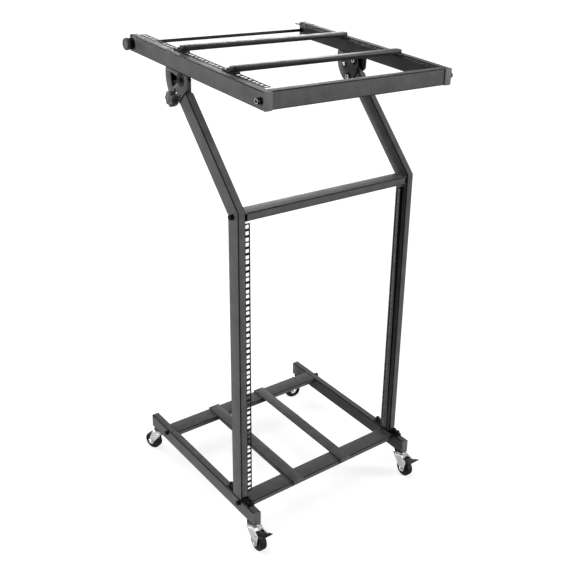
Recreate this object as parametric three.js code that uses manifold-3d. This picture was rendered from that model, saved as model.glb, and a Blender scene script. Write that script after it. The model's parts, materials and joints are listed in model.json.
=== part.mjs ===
// Studio rack stand on casters. Two upright rack posts bend back into arms that carry a tilting
// top frame. The base is two runners, two crossbars and two shelf straps on four swivel casters.
// Lengths are millimetres. X runs left to right, Y front to back and Z up from the floor.

import * as THREE from 'three';
import { mergeVertices } from 'three/addons/utils/BufferGeometryUtils.js';
import Module from 'manifold-3d';

const wasm = await Module();
wasm.setup();

// Gap between pieces that touch or run on each other, overrun of cuts, and overlap of a weld
const GAP = 0.3;
const OVERRUN = 4;
const WELD_OVERLAP = 0.05;
const ROUND_STEPS = 12;
const WHEEL_STEPS = 20;
const CORNER_STEPS = 2;

// Rack hole pattern: two wide pitches and a narrow one make one rack unit
const RACK = { opening: 450, column: 465.1, wide_pitch: 15.875, narrow_pitch: 12.7, hole: 9.5 };
const HOLES_PER_UNIT = 3;

// Steel tube of the runners, posts and rails, and the perforated rack strips
const TUBE = { wide: 20, wall: 1.5, corner: 2, post_deep: 43, tall: 40 };
const STRIP = { wide: 21, thick: 2, recess: 14.4, margin: 8, end_gap: 3 };

// Base frame
const RUNNER = { front: -57, length: 546 };
const CROSSBAR = { wide: 50, tall: 12.5, sheet: 1.5, end_wall: 3, front: -15, rear: 370 };
const STRAP = { wide: 32.5, thick: 3, front_lip: 13, rear_lip: 6, flange: 9, left_x: -97.5, right_x: 63 };
const FOOT = { thick: 6, reach: 30, bolt_inset: 7, bolt_pitch: 14 };

// Upright posts, their bend and their arms
const POST_STRIP_UNITS = 17;
const POST = { above_strip: 35.75, arm_length: 302 };
const ARM_LEAN = THREE.MathUtils.degToRad(44);
const MID_BAR = { tall: 20, deep: 40, set_back: 2, under_bend: 5, notch_wide: 6, notch_tall: 16 };

// Bolts with socket heads, and their nuts
const SMALL_BOLT = { radius: 3, head: 6.5, head_long: 9, socket: 3, socket_deep: 5 };
const SMALL_NUT = { radius: 5.2, thick: 4.5 };
const BIG_BOLT = { radius: 4, head: 6.5, head_thick: 5 };
const TOP_BAR_BOLT = { radius: 4, head: 7, head_long: 11.5, socket: 3.4, socket_deep: 6, shank_in: 13 };

// Casters: wheel, fork, stem and brake pedal
const CASTER = { height: 73, front_inset: 18, rear_inset: 22, trail: 26 };
const WHEEL = { radius: 25, half_wide: 10, round: 4, hub_radius: 9, rim: 19, dish: 3 };
const STEM = { radius: 5, length: 14, nut_clear: 0.5, nut_thick: 6 };
const RACE = { plate_radius: 18, plate_thick: 3, radius: 15, thick: 3 };
const FORK = { inside: 24, sheet: 2, top_radius: 19, top_thick: 3, eye: 9, brow: 6 };
const AXLE = { radius: 4, head: 6.5, head_thick: 3.5 };
const PEDAL = { ahead: 8, tread_clear: 0.8, side_clear: 0.6, barrel: 4.3, pin: 2.5, thick: 2.6 };
const TOE = { wide: 32, reach: 33, rise: 13 };
const REAR_LEFT_HEADING = THREE.MathUtils.degToRad(20);
const REAR_RIGHT_HEADING = THREE.MathUtils.degToRad(75);

// Tilt knuckles between the arms and the top frame
const REST_TILT = THREE.MathUtils.degToRad(1.75);
const LOWEST_TILT = THREE.MathUtils.degToRad(41.75);
const PIVOT = { past_arm: 35, off_centre: 25.5, eye_clear: 0.7 };
const PLATE = { thick: 3, radius: 72, front: 30, arm_clear: 3.5 };
const PLATE_RIM = { inner: 68, outer: 71 };
const RIM_START = THREE.MathUtils.degToRad(50);
const WINDOW = { inner: 16, outer: 47 };
const WINDOW_START = THREE.MathUtils.degToRad(55);
const WINDOW_END = THREE.MathUtils.degToRad(100);
const LOCK = { circle: 52, web_hole: 3.5, web_circle: 41 };
const LOCK_ANGLE = THREE.MathUtils.degToRad(23);
const INDEX_ANGLE = THREE.MathUtils.degToRad(72);
const WEB_ANGLE = THREE.MathUtils.degToRad(42);
const TONGUE = { eye: 10, rim: 9, tenon: 45 };
const TONGUE_START = THREE.MathUtils.degToRad(11.5);
const TONGUE_END = THREE.MathUtils.degToRad(76);
const LOCK_KNOB = { radius: 19, lobe: 2.2, hub: 9, hub_long: 5.5, body_long: 16, cap: 4 };
const KNOB_LOBES = 7;
const STEPS_PER_LOBE = 6;

// Top frame, measured from the pivot
const RAIL = { front: -339.5, length: 586 };
const TOP_BAR = { deep: 20, set_back: 0.5 };
const TOP_STRIP = { behind_bar: 14, rear_gap: 2, below_top: 1.5 };
const TIE_ROD = { from_rear: 10, collar: 7, collar_long: 5 };
const TIE_KNOB = { sleeve: 14, sleeve_long: 11, disc: 15, disc_long: 9, rod_in: 14 };
const SUPPORT = { wide: 25, tall: 10, end_gap: 5, front_y: -178, rear_y: 37 };
const SHOE = { inset: 0.9, thick: 4.5, ahead: 12, behind: 33, slot_wide: 6, slot_long: 14 };

// Places worked out from the sizes above
const OUTER_X = RACK.opening / 2 + STRIP.wide + TUBE.wide;
const INNER_X = OUTER_X - TUBE.wide;
const TUBE_X = (OUTER_X + INNER_X) / 2;
const RUNNER_TOP = CASTER.height + TUBE.tall;
const FOOT_BOTTOM = RUNNER_TOP + GAP;
const FOOT_TOP = FOOT_BOTTOM + FOOT.thick;
const POST_BOTTOM = FOOT_TOP + GAP;
const POST_HOLES = holePlaces(POST_STRIP_UNITS * HOLES_PER_UNIT);
const POST_HOLE_START = POST_BOTTOM + STRIP.end_gap + STRIP.margin;
const POST_STRIP_END = POST_HOLE_START + POST_HOLES[POST_HOLES.length - 1] + STRIP.margin;
const BEND_FRONT = POST_STRIP_END + POST.above_strip;
const BEND = [TUBE.post_deep / 2, BEND_FRONT - (TUBE.post_deep / 2) * Math.tan(ARM_LEAN / 2)];
const ARM_DIRECTION = [Math.sin(ARM_LEAN), Math.cos(ARM_LEAN)];
const ARM_END = BEND.map((value, i) => value + ARM_DIRECTION[i] * POST.arm_length);
const PIVOT_Y = ARM_END[0] + ARM_DIRECTION[0] * PIVOT.past_arm - ARM_DIRECTION[1] * PIVOT.off_centre;
const PIVOT_Z = ARM_END[1] + ARM_DIRECTION[1] * PIVOT.past_arm + ARM_DIRECTION[0] * PIVOT.off_centre;
const RAIL_BOTTOM = TONGUE.eye + PIVOT.eye_clear + PLATE.thick + GAP;
const RAIL_TOP = RAIL_BOTTOM + TUBE.tall;
const RAIL_REAR = RAIL.front + RAIL.length;
const CROSSBAR_BOLT_Z = RUNNER_TOP - CROSSBAR.sheet - GAP - SMALL_NUT.radius;
const CROSSBAR_FRONTS = [CROSSBAR.front, CROSSBAR.rear];
const MID_BAR_TOP = BEND_FRONT - MID_BAR.under_bend;
const MID_BAR_BOLT = [MID_BAR.set_back + MID_BAR.deep / 2, MID_BAR_TOP - MID_BAR.tall / 2];
const SIDES = [['left', -1], ['right', 1]];

// Materials
const paint = (color, roughness, metalness) =>
  new THREE.MeshStandardMaterial({ color, roughness, metalness });
const FRAME_PAINT = paint(0x3a3b3d, 0.5, 0.3);
const STRIP_PAINT = paint(0x2a2b2c, 0.5, 0.3);
const BLACK_STEEL = paint(0x151516, 0.4, 0.6);
const BLACK_PLASTIC = paint(0x1b1b1c, 0.6, 0);
const GREY_PLASTIC = paint(0x4a4b4d, 0.6, 0);
const ZINC = paint(0xc4c6c8, 0.3, 0.9);
const TYRE = paint(0x18181a, 0.75, 0);

// Solids: a closed geometry becomes a solid that can be cut and joined
function solidOf(geometry) {
  const bare = geometry.index ? geometry.toNonIndexed() : geometry.clone();
  bare.deleteAttribute('normal');
  bare.deleteAttribute('uv');
  const merged = mergeVertices(bare);
  const vertProperties = new Float32Array(merged.attributes.position.array);
  const triVerts = new Uint32Array(merged.index.array);
  return new wasm.Manifold(new wasm.Mesh({ numProp: 3, vertProperties, triVerts }));
}

function join(solids) {
  return solids.reduce((whole, solid) => whole.add(solid));
}

function cut(solid, tools) {
  return tools.reduce((rest, tool) => rest.subtract(tool), solid);
}

function meshOf(name, solid, material) {
  const { vertProperties, triVerts } = solid.getMesh();
  const geometry = new THREE.BufferGeometry();
  geometry.setAttribute('position', new THREE.BufferAttribute(new Float32Array(vertProperties), 3));
  geometry.setIndex(new THREE.BufferAttribute(new Uint32Array(triVerts), 1));
  geometry.computeVertexNormals();
  const mesh = new THREE.Mesh(geometry, material);
  mesh.name = name;
  return mesh;
}

// A block between two limits on each axis, given in any order
function block(...spans) {
  const low = spans.map((span) => Math.min(...span));
  const high = spans.map((span) => Math.max(...span));
  const size = high.map((value, i) => value - low[i]);
  const geometry = new THREE.BoxGeometry(...size);
  geometry.translate(...low.map((value, i) => value + size[i] / 2));
  return solidOf(geometry);
}

// A round bar between two points, or with few steps a hexagon bar
function rod(radius, start, end, steps = ROUND_STEPS) {
  const from = new THREE.Vector3(...start);
  const way = new THREE.Vector3(...end).sub(from);
  const geometry = new THREE.CylinderGeometry(radius, radius, way.length(), steps);
  const turn = new THREE.Quaternion().setFromUnitVectors(
    new THREE.Vector3(0, 1, 0), way.clone().normalize());
  geometry.applyQuaternion(turn);
  const middle = from.addScaledVector(way, 1 / 2);
  geometry.translate(middle.x, middle.y, middle.z);
  return solidOf(geometry);
}

const HEX_SIDES = 6;

function hex(radius, start, end) {
  return rod(radius, start, end, HEX_SIDES);
}

// A bar along X through the point with this y and z
function rodX(radius, xs, [y, z], steps) {
  return rod(radius, [xs[0], y, z], [xs[1], y, z], steps);
}

// A bolt's round head between its seat and its face, with a hexagon socket in the face
function socketHead(bolt, seat, face) {
  const way = new THREE.Vector3(...face).sub(new THREE.Vector3(...seat)).normalize().toArray();
  const fromFace = (offset) => face.map((value, i) => value + way[i] * offset);
  const socket = hex(bolt.socket, fromFace(-bolt.socket_deep), fromFace(OVERRUN));
  return rod(bolt.head, seat, face).subtract(socket);
}

// Shapes drawn in the plane square to an axis and pushed along it between two places
const FACING = {
  x: [new THREE.Vector3(0, 1, 0), new THREE.Vector3(0, 0, 1), new THREE.Vector3(1, 0, 0)],
  y: [new THREE.Vector3(1, 0, 0), new THREE.Vector3(0, 0, 1), new THREE.Vector3(0, -1, 0)],
  z: [new THREE.Vector3(1, 0, 0), new THREE.Vector3(0, 1, 0), new THREE.Vector3(0, 0, 1)],
};

function pushed(shape, axis, ends) {
  const low = Math.min(...ends);
  const high = Math.max(...ends);
  const settings = { depth: high - low, bevelEnabled: false, curveSegments: CORNER_STEPS };
  const geometry = new THREE.ExtrudeGeometry(shape, settings);
  geometry.applyMatrix4(new THREE.Matrix4().makeBasis(...FACING[axis]));
  const start = axis === 'y' ? high : low;
  geometry.translate(...['x', 'y', 'z'].map((name) => (name === axis ? start : 0)));
  return solidOf(geometry);
}

function outline(points) {
  return new THREE.Shape(points.map((point) => new THREE.Vector2(...point)));
}

function roundedRectangle(centre, wide, tall, corner) {
  const [x, y] = [centre[0] - wide / 2, centre[1] - tall / 2];
  const shape = new THREE.Shape();
  shape.moveTo(x + corner, y);
  shape.absarc(x + wide - corner, y + corner, corner, -Math.PI / 2, 0);
  shape.absarc(x + wide - corner, y + tall - corner, corner, 0, Math.PI / 2);
  shape.absarc(x + corner, y + tall - corner, corner, Math.PI / 2, Math.PI);
  shape.absarc(x + corner, y + corner, corner, Math.PI, Math.PI * 3 / 2);
  return shape;
}

// A hollow tube section with rounded corners
function tubeSection(centre, wide, tall) {
  const section = roundedRectangle(centre, wide, tall, TUBE.corner);
  const inside = TUBE.wall * 2;
  const bore = roundedRectangle(centre, wide - inside, tall - inside, TUBE.corner - TUBE.wall);
  section.holes.push(bore);
  return section;
}

// Places of rack holes, counted from the first hole
function holePlaces(count) {
  const unit = RACK.wide_pitch * 2 + RACK.narrow_pitch;
  const place = (i) => Math.floor(i / HOLES_PER_UNIT) * unit + (i % HOLES_PER_UNIT) * RACK.wide_pitch;
  return Array.from({ length: count }, (_, i) => place(i));
}

// Rack strip outline: x across, the other direction along the strip
function stripShape(side, start, end, first, places) {
  const xs = [side * RACK.opening / 2, side * (INNER_X - GAP)];
  const shape = outline([[Math.min(...xs), start], [Math.max(...xs), start],
    [Math.max(...xs), end], [Math.min(...xs), end]]);
  const half = RACK.hole / 2;
  const x = side * RACK.column / 2;
  for (const place of places) {
    const y = first + place;
    const corners = [[x - half, y - half], [x - half, y + half], [x + half, y + half], [x + half, y - half]];
    shape.holes.push(new THREE.Path(corners.map((corner) => new THREE.Vector2(...corner))));
  }
  return shape;
}

// Base frame
function swivelPlaces() {
  const front = RUNNER.front + CASTER.front_inset;
  const rear = RUNNER.front + RUNNER.length - CASTER.rear_inset;
  return { front, rear };
}

function footBoltPlaces() {
  const back = TUBE.post_deep + FOOT.reach - FOOT.bolt_inset;
  const front = FOOT.bolt_inset - FOOT.reach;
  return [front, front + FOOT.bolt_pitch, back - FOOT.bolt_pitch, back];
}

function crossbarBoltYs() {
  return CROSSBAR_FRONTS.map((front) => front + CROSSBAR.wide / 2);
}

function runner(side) {
  const ys = [RUNNER.front, RUNNER.front + RUNNER.length];
  const section = tubeSection([side * TUBE_X, CASTER.height + TUBE.tall / 2], TUBE.wide, TUBE.tall);
  const x = side * TUBE_X;
  const stems = Object.values(swivelPlaces()).map((y) => rod(STEM.radius + GAP,
    [x, y, CASTER.height - OVERRUN], [x, y, CASTER.height + OVERRUN]));
  const bolts = crossbarBoltYs().map((y) => rodX(SMALL_BOLT.radius + GAP,
    [side * (INNER_X - OVERRUN), side * (OUTER_X + OVERRUN)], [y, CROSSBAR_BOLT_Z]));
  const feet = footBoltPlaces().map((y) => rod(SMALL_BOLT.radius + GAP,
    [x, y, RUNNER_TOP - OVERRUN], [x, y, RUNNER_TOP + OVERRUN]));
  return cut(pushed(section, 'y', ys), [...stems, ...bolts, ...feet]);
}

function baseCrossbar(front) {
  const half = INNER_X - GAP;
  const ys = [front, front + CROSSBAR.wide];
  const bottom = RUNNER_TOP - CROSSBAR.tall;
  const body = block([-half, half], ys, [bottom, RUNNER_TOP]);
  const inside = half - CROSSBAR.end_wall;
  const hollow = block([-inside, inside], [ys[0] + CROSSBAR.sheet, ys[1] - CROSSBAR.sheet],
    [bottom - OVERRUN, RUNNER_TOP - CROSSBAR.sheet]);
  const bolts = rodX(SMALL_BOLT.radius + GAP, [-half - OVERRUN, half + OVERRUN],
    [front + CROSSBAR.wide / 2, CROSSBAR_BOLT_Z]);
  return cut(body, [hollow, bolts]);
}

// A bolt along X: head outside the tube, shank through to a nut on the inside
function clampBolt(side, at, nutX) {
  const headX = OUTER_X + GAP;
  const head = socketHead(SMALL_BOLT, [side * headX, ...at], [side * (headX + SMALL_BOLT.head_long), ...at]);
  const endX = nutX - SMALL_NUT.thick;
  const shank = rodX(SMALL_BOLT.radius, [side * endX, side * headX], at);
  const nut = rodX(SMALL_NUT.radius, [side * endX, side * nutX], at, HEX_SIDES);
  return join([head, shank, nut]);
}

const CLAMP_NUT_X = INNER_X - GAP * 2 - CROSSBAR.end_wall;

// Shelf strap: a flat bar hooked over both crossbars, with a stiffening flange between them
function strap(centre, flangeSide) {
  const xs = [centre - STRAP.wide / 2, centre + STRAP.wide / 2];
  const bottom = RUNNER_TOP + GAP;
  const top = bottom + STRAP.thick;
  const front = CROSSBAR.front - GAP;
  const rear = CROSSBAR.rear + CROSSBAR.wide + GAP;
  const bar = block(xs, [front - STRAP.thick, rear + STRAP.thick], [bottom, top]);
  const frontLip = block(xs, [front - STRAP.thick, front], [top - STRAP.front_lip, top]);
  const rearLip = block(xs, [rear, rear + STRAP.thick], [top - STRAP.rear_lip, top]);
  const edge = flangeSide > 0 ? xs[1] : xs[0];
  const flange = block([edge, edge - flangeSide * STRAP.thick],
    [CROSSBAR.front + CROSSBAR.wide + GAP, CROSSBAR.rear - GAP], [bottom - STRAP.flange, top]);
  return join([bar, frontLip, rearLip, flange]);
}

// Post foot: a plate on the runner with four bolts, their heads before and behind the post
function footBolt(x, y) {
  const end = RUNNER_TOP - TUBE.wall - FOOT.thick;
  const face = FOOT_TOP + SMALL_BOLT.head_long;
  const head = socketHead(SMALL_BOLT, [x, y, FOOT_TOP - WELD_OVERLAP], [x, y, face]);
  return rod(SMALL_BOLT.radius, [x, y, end], [x, y, FOOT_TOP]).add(head);
}

function postFoot(side) {
  const ys = [-FOOT.reach, TUBE.post_deep + FOOT.reach];
  const plate = block([side * INNER_X, side * OUTER_X], ys, [FOOT_BOTTOM, FOOT_TOP]);
  return join([plate, ...footBoltPlaces().map((y) => footBolt(side * TUBE_X, y))]);
}

// A rack post bent back into its arm: one tube section carried over three places, the foot,
// the mitre plane of the bend and the square end of the arm
const POST_PLACES = [
  (depth) => [BEND[0] + depth, POST_BOTTOM],
  (depth) => [BEND[0] + depth, BEND[1] - depth * Math.tan(ARM_LEAN / 2)],
  (depth) => [ARM_END[0] + depth * ARM_DIRECTION[1], ARM_END[1] - depth * ARM_DIRECTION[0]],
];

function post(side) {
  const steps = POST_PLACES.length - 1;
  const section = tubeSection([0, 0], TUBE.wide, TUBE.post_deep);
  const settings = { depth: steps, steps, bevelEnabled: false, curveSegments: CORNER_STEPS };
  const geometry = new THREE.ExtrudeGeometry(section, settings);
  const points = geometry.attributes.position;
  for (let i = 0; i < points.count; i += 1) {
    const place = POST_PLACES[Math.round(points.getZ(i))];
    points.setXYZ(i, side * TUBE_X + points.getX(i), ...place(points.getY(i)));
  }
  const bolt = rodX(SMALL_BOLT.radius + GAP,
    [side * (INNER_X - OVERRUN), side * (OUTER_X + OVERRUN)], MID_BAR_BOLT);
  return solidOf(geometry).subtract(bolt);
}

function postStrip(side) {
  const start = POST_BOTTOM + STRIP.end_gap;
  const shape = stripShape(side, start, POST_STRIP_END, POST_HOLE_START, POST_HOLES);
  return pushed(shape, 'y', [STRIP.recess, STRIP.recess + STRIP.thick]);
}

// Middle crossbar between the posts at the bend, with an open notch at each end of its front
function midCrossbar() {
  const half = INNER_X - GAP;
  const ys = [MID_BAR.set_back, MID_BAR.set_back + MID_BAR.deep];
  const zs = [MID_BAR_TOP - MID_BAR.tall, MID_BAR_TOP];
  const body = block([-half, half], ys, zs);
  const inside = half - CROSSBAR.end_wall;
  const hollow = block([-inside, inside], [ys[0] + TUBE.wall, ys[1] - TUBE.wall],
    [zs[0] + TUBE.wall, zs[1] - TUBE.wall]);
  const middle = (zs[0] + zs[1]) / 2;
  const notches = SIDES.map(([, side]) => block(
    [side * (half + OVERRUN), side * (half - MID_BAR.notch_wide)], [ys[0] - OVERRUN, ys[0] + TUBE.wall + GAP],
    [middle - MID_BAR.notch_tall / 2, middle + MID_BAR.notch_tall / 2]));
  const bolts = rodX(SMALL_BOLT.radius + GAP, [-half - OVERRUN, half + OVERRUN], MID_BAR_BOLT);
  return cut(body, [hollow, ...notches, bolts]);
}

// Casters, drawn round their swivel axis with the wheel trailing towards +Y
const STEM_TOP = CASTER.height + STEM.length;
const RACE_BOTTOM = CASTER.height - GAP - RACE.plate_thick - RACE.thick;
const FORK_TOP = RACE_BOTTOM - GAP;
const AXLE_AT = [CASTER.trail, WHEEL.radius];
const PIN_TO_AXLE = WHEEL.radius + PEDAL.tread_clear + PEDAL.barrel;
const PEDAL_AT = [CASTER.trail + PEDAL.ahead,
  WHEEL.radius + Math.sqrt(PIN_TO_AXLE ** 2 - PEDAL.ahead ** 2)];

function casterStem(x, y) {
  const top = CASTER.height - GAP;
  const plate = rod(RACE.plate_radius, [x, y, top - RACE.plate_thick], [x, y, top]);
  const race = rod(RACE.radius, [x, y, RACE_BOTTOM], [x, y, top - RACE.plate_thick / 2]);
  const stem = rod(STEM.radius, [x, y, top - RACE.plate_thick / 2], [x, y, STEM_TOP]);
  const seat = CASTER.height + TUBE.wall + GAP;
  const nutRadius = TUBE.wide / 2 - TUBE.wall - STEM.nut_clear;
  const nut = hex(nutRadius, [x, y, seat], [x, y, seat + STEM.nut_thick]);
  return join([plate, race, stem, nut]);
}

// One leg of the fork: a sheet from the top plate down round the axle, and on a braked fork
// out to the pedal pin
function forkLeg(braked) {
  const [axleY, axleZ] = AXLE_AT;
  const [pinY, pinZ] = PEDAL_AT;
  const top = FORK_TOP - FORK.top_thick / 2;
  const shape = new THREE.Shape();
  shape.moveTo(-FORK.eye, top);
  shape.lineTo(-FORK.eye, top - FORK.eye);
  shape.absarc(axleY, axleZ, FORK.eye, Math.PI, Math.PI * 2);
  if (braked) {
    shape.lineTo(pinY + FORK.brow, pinZ - FORK.brow);
    shape.lineTo(pinY + FORK.brow, pinZ + FORK.brow / 2);
  }
  shape.lineTo(FORK.eye * 2, top);
  return shape;
}

function fork(braked) {
  const inside = FORK.inside / 2;
  const outside = inside + FORK.sheet;
  const legs = SIDES.map(([, side]) => pushed(forkLeg(braked), 'x', [side * inside, side * outside]));
  const top = rod(FORK.top_radius, [0, 0, FORK_TOP - FORK.top_thick], [0, 0, FORK_TOP]);
  const pin = braked ? [rodX(PEDAL.pin, [-outside, outside], PEDAL_AT)] : [];
  const bore = rodX(AXLE.radius + GAP, [-outside - OVERRUN, outside + OVERRUN], AXLE_AT);
  return join([top, ...legs, ...pin]).subtract(bore);
}

// Wheel profile as radius and offset along the axle, turned round the axle. The tread's flats, not
// its corners, lie at the tread radius, and one flat faces the floor.
function wheel() {
  const corner = 1 / Math.cos(Math.PI / WHEEL_STEPS);
  const quarter = Array.from({ length: CORNER_STEPS + 1 }, (_, i) => i / CORNER_STEPS * Math.PI / 2);
  const shoulder = quarter.map((angle) => [
    (WHEEL.radius - WHEEL.round + WHEEL.round * Math.cos(angle)) * corner,
    WHEEL.half_wide - WHEEL.round + WHEEL.round * Math.sin(angle)]);
  const dished = WHEEL.half_wide - WHEEL.dish;
  const hubHalf = FORK.inside / 2 - GAP;
  const half = [...shoulder, [WHEEL.rim, WHEEL.half_wide], [WHEEL.rim - WHEEL.dish, dished],
    [WHEEL.hub_radius, dished], [WHEEL.hub_radius, hubHalf], [AXLE.radius + GAP, hubHalf]];
  const mirrored = half.map(([radius, offset]) => [radius, -offset]).reverse();
  const profile = [...mirrored, ...half, mirrored[0]].map((point) => new THREE.Vector2(...point));
  const geometry = new THREE.LatheGeometry(profile, WHEEL_STEPS, Math.PI / WHEEL_STEPS);
  geometry.rotateZ(-Math.PI / 2);
  geometry.translate(0, ...AXLE_AT);
  return solidOf(geometry);
}

function axle() {
  const outside = FORK.inside / 2 + FORK.sheet + GAP;
  const end = outside + AXLE.head_thick;
  return join([
    rodX(AXLE.radius, [-end, end], AXLE_AT),
    rodX(AXLE.head, [-end, -outside], AXLE_AT),
    rodX(AXLE.head, [outside, end], AXLE_AT, HEX_SIDES),
  ]);
}

// Brake pedal: a barrel on the fork's pin with a toe plate rising ahead of the wheel
function pedal() {
  const [y, z] = PEDAL_AT;
  const half = FORK.inside / 2 - PEDAL.side_clear;
  const barrel = rodX(PEDAL.barrel, [-half, half], PEDAL_AT);
  const low = z + PEDAL.barrel / 2;
  const neckEnd = y + TOE.reach / 2;
  const neckLow = low + TOE.rise / 4;
  const neck = outline([[y, low], [neckEnd, neckLow], [neckEnd, neckLow + PEDAL.thick],
    [y, low + PEDAL.thick]]);
  const toeStart = neckEnd - PEDAL.thick;
  const toeLow = low + TOE.rise / 8;
  const toe = outline([[toeStart, toeLow], [y + TOE.reach, z + TOE.rise],
    [y + TOE.reach, z + TOE.rise + PEDAL.thick], [toeStart, toeLow + PEDAL.thick]]);
  const toeHalf = TOE.wide / 2;
  const body = join([barrel, pushed(neck, 'x', [-half, half]), pushed(toe, 'x', [-toeHalf, toeHalf])]);
  return body.subtract(rodX(PEDAL.pin + GAP, [-half - OVERRUN, half + OVERRUN], PEDAL_AT));
}

// Tilt knuckles, drawn round the pivot. An angle is measured from straight down to the rear.
function polar(radius, angle) {
  return [radius * Math.sin(angle), -radius * Math.cos(angle)];
}

function arcPoints(radius, start, end) {
  const steps = ROUND_STEPS / 2;
  return Array.from({ length: steps + 1 }, (_, i) => polar(radius, start + (end - start) * i / steps));
}

function ringSector(inner, outer, start, end) {
  return outline([...arcPoints(outer, start, end), ...arcPoints(inner, end, start)]);
}

// A point given along the arm from the pivot and across it to the rear
function alongArm(along, across) {
  return [-along * Math.sin(ARM_LEAN) + across * Math.cos(ARM_LEAN),
    -along * Math.cos(ARM_LEAN) - across * Math.sin(ARM_LEAN)];
}

// Side plate: from the rail's underside round to a straight edge just above the end of the arm
function platePoints() {
  const top = RAIL_BOTTOM - GAP;
  const line = PIVOT.past_arm - PLATE.arm_clear;
  const rimStart = Math.acos(line / PLATE.radius) - ARM_LEAN;
  const rimEnd = Math.PI / 2 + Math.asin(top / PLATE.radius);
  const frontLow = (PLATE.front * Math.sin(ARM_LEAN) - line) / Math.cos(ARM_LEAN);
  return [[-PLATE.front, top], [-PLATE.front, frontLow], ...arcPoints(PLATE.radius, rimStart, rimEnd)];
}

function tiltPlate(side, outer) {
  const from = outer ? OUTER_X - PLATE.thick : INNER_X;
  const xs = [side * from, side * (from + PLATE.thick)];
  const through = [xs[0] - side * OVERRUN, xs[1] + side * OVERRUN];
  const hole = BIG_BOLT.radius + GAP;
  const cuts = [rodX(hole, through, [0, 0]), rodX(hole, through, polar(LOCK.circle, LOCK_ANGLE))];
  if (outer) {
    cuts.push(pushed(ringSector(WINDOW.inner, WINDOW.outer, WINDOW_START, WINDOW_END), 'x', through));
    cuts.push(rodX(LOCK.web_hole, through, polar(LOCK.web_circle, WEB_ANGLE)));
  } else {
    cuts.push(rodX(hole, through, polar(LOCK.circle, INDEX_ANGLE)));
  }
  return cut(pushed(outline(platePoints()), 'x', xs), cuts);
}

// Bracket under the rail: two side plates joined by a web on top and a rim behind
function tiltBracket(side) {
  const top = RAIL_BOTTOM - GAP;
  const rear = Math.sqrt(PLATE.radius ** 2 - RAIL_BOTTOM ** 2);
  const xs = [side * (INNER_X + WELD_OVERLAP), side * (OUTER_X - WELD_OVERLAP)];
  const web = block(xs, [-PLATE.front, rear], [top - PLATE.thick, top]);
  const rim = pushed(ringSector(PLATE_RIM.inner, PLATE_RIM.outer, RIM_START, Math.PI / 2), 'x', xs);
  return join([web, rim, tiltPlate(side, false), tiltPlate(side, true)]);
}

// Tongue on the arm: an eye on the pivot bolt, an arc slot for the lock bolt and a tenon in the tube
function tongue(side) {
  const xs = [side * (INNER_X + PLATE.thick + GAP), side * (OUTER_X - PLATE.thick - GAP)];
  const through = [xs[0] - side * OVERRUN, xs[1] + side * OVERRUN];
  const rim = LOCK.circle + TONGUE.rim;
  const sector = outline([[0, 0], ...arcPoints(rim, TONGUE_START, TONGUE_END)]);
  const half = TUBE.post_deep / 2 - TUBE.wall - GAP;
  const near = PIVOT.off_centre - half;
  const far = PIVOT.off_centre + half;
  const armEnd = PIVOT.past_arm;
  const neck = outline([alongArm(0, TONGUE.eye), alongArm(0, -TONGUE.eye), alongArm(armEnd, near),
    alongArm(armEnd + TONGUE.tenon, near), alongArm(armEnd + TONGUE.tenon, far), alongArm(armEnd, far)]);
  const body = join([rodX(TONGUE.eye, xs, [0, 0]), pushed(sector, 'x', xs), pushed(neck, 'x', xs)]);
  const slotHalf = BIG_BOLT.radius + GAP * 2;
  const slotEnds = [LOCK_ANGLE, LOCK_ANGLE + LOWEST_TILT];
  const slot = ringSector(LOCK.circle - slotHalf, LOCK.circle + slotHalf, ...slotEnds);
  return cut(body, [rodX(BIG_BOLT.radius + GAP, through, [0, 0]), pushed(slot, 'x', through),
    ...slotEnds.map((angle) => rodX(slotHalf, through, polar(LOCK.circle, angle)))]);
}

// Pivot bolt: round head outside the bracket and nut inside it
function pivotBolt(side) {
  const outside = OUTER_X + GAP;
  const inside = INNER_X - GAP;
  return join([
    rodX(BIG_BOLT.radius, [side * inside, side * outside], [0, 0]),
    rodX(BIG_BOLT.head, [side * outside, side * (outside + BIG_BOLT.head_thick)], [0, 0]),
    rodX(BIG_BOLT.head, [side * inside, side * (inside - BIG_BOLT.head_thick)], [0, 0], HEX_SIDES),
  ]);
}

// Lock bolt: its head inside the bracket and its thread out to the knob
const LOCK_BOLT_END = OUTER_X + LOCK_KNOB.hub_long + LOCK_KNOB.body_long - LOCK_KNOB.cap;

function lockBolt(side) {
  const at = polar(LOCK.circle, LOCK_ANGLE);
  const inside = INNER_X - GAP;
  return rodX(BIG_BOLT.radius, [side * inside, side * LOCK_BOLT_END], at).add(
    rodX(BIG_BOLT.head, [side * inside, side * (inside - BIG_BOLT.head_thick)], at, HEX_SIDES));
}

// Star outline: a circle whose radius swells at each lobe
function starPoints([y, z]) {
  const count = KNOB_LOBES * STEPS_PER_LOBE;
  return Array.from({ length: count }, (_, i) => {
    const angle = i / count * Math.PI * 2;
    const radius = LOCK_KNOB.radius - LOCK_KNOB.lobe + LOCK_KNOB.lobe * Math.cos(KNOB_LOBES * angle);
    return [y + radius * Math.cos(angle), z + radius * Math.sin(angle)];
  });
}

function lockKnob(side) {
  const at = polar(LOCK.circle, LOCK_ANGLE);
  const start = OUTER_X + GAP;
  const seat = start + LOCK_KNOB.hub_long;
  const hub = rodX(LOCK_KNOB.hub, [side * start, side * (seat + WELD_OVERLAP)], at);
  const star = pushed(outline(starPoints(at)), 'x', [side * seat, side * (seat + LOCK_KNOB.body_long)]);
  const bore = rodX(BIG_BOLT.radius + GAP, [side * (start - OVERRUN), side * (LOCK_BOLT_END + GAP)], at);
  return cut(hub.add(star), [bore]);
}

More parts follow.
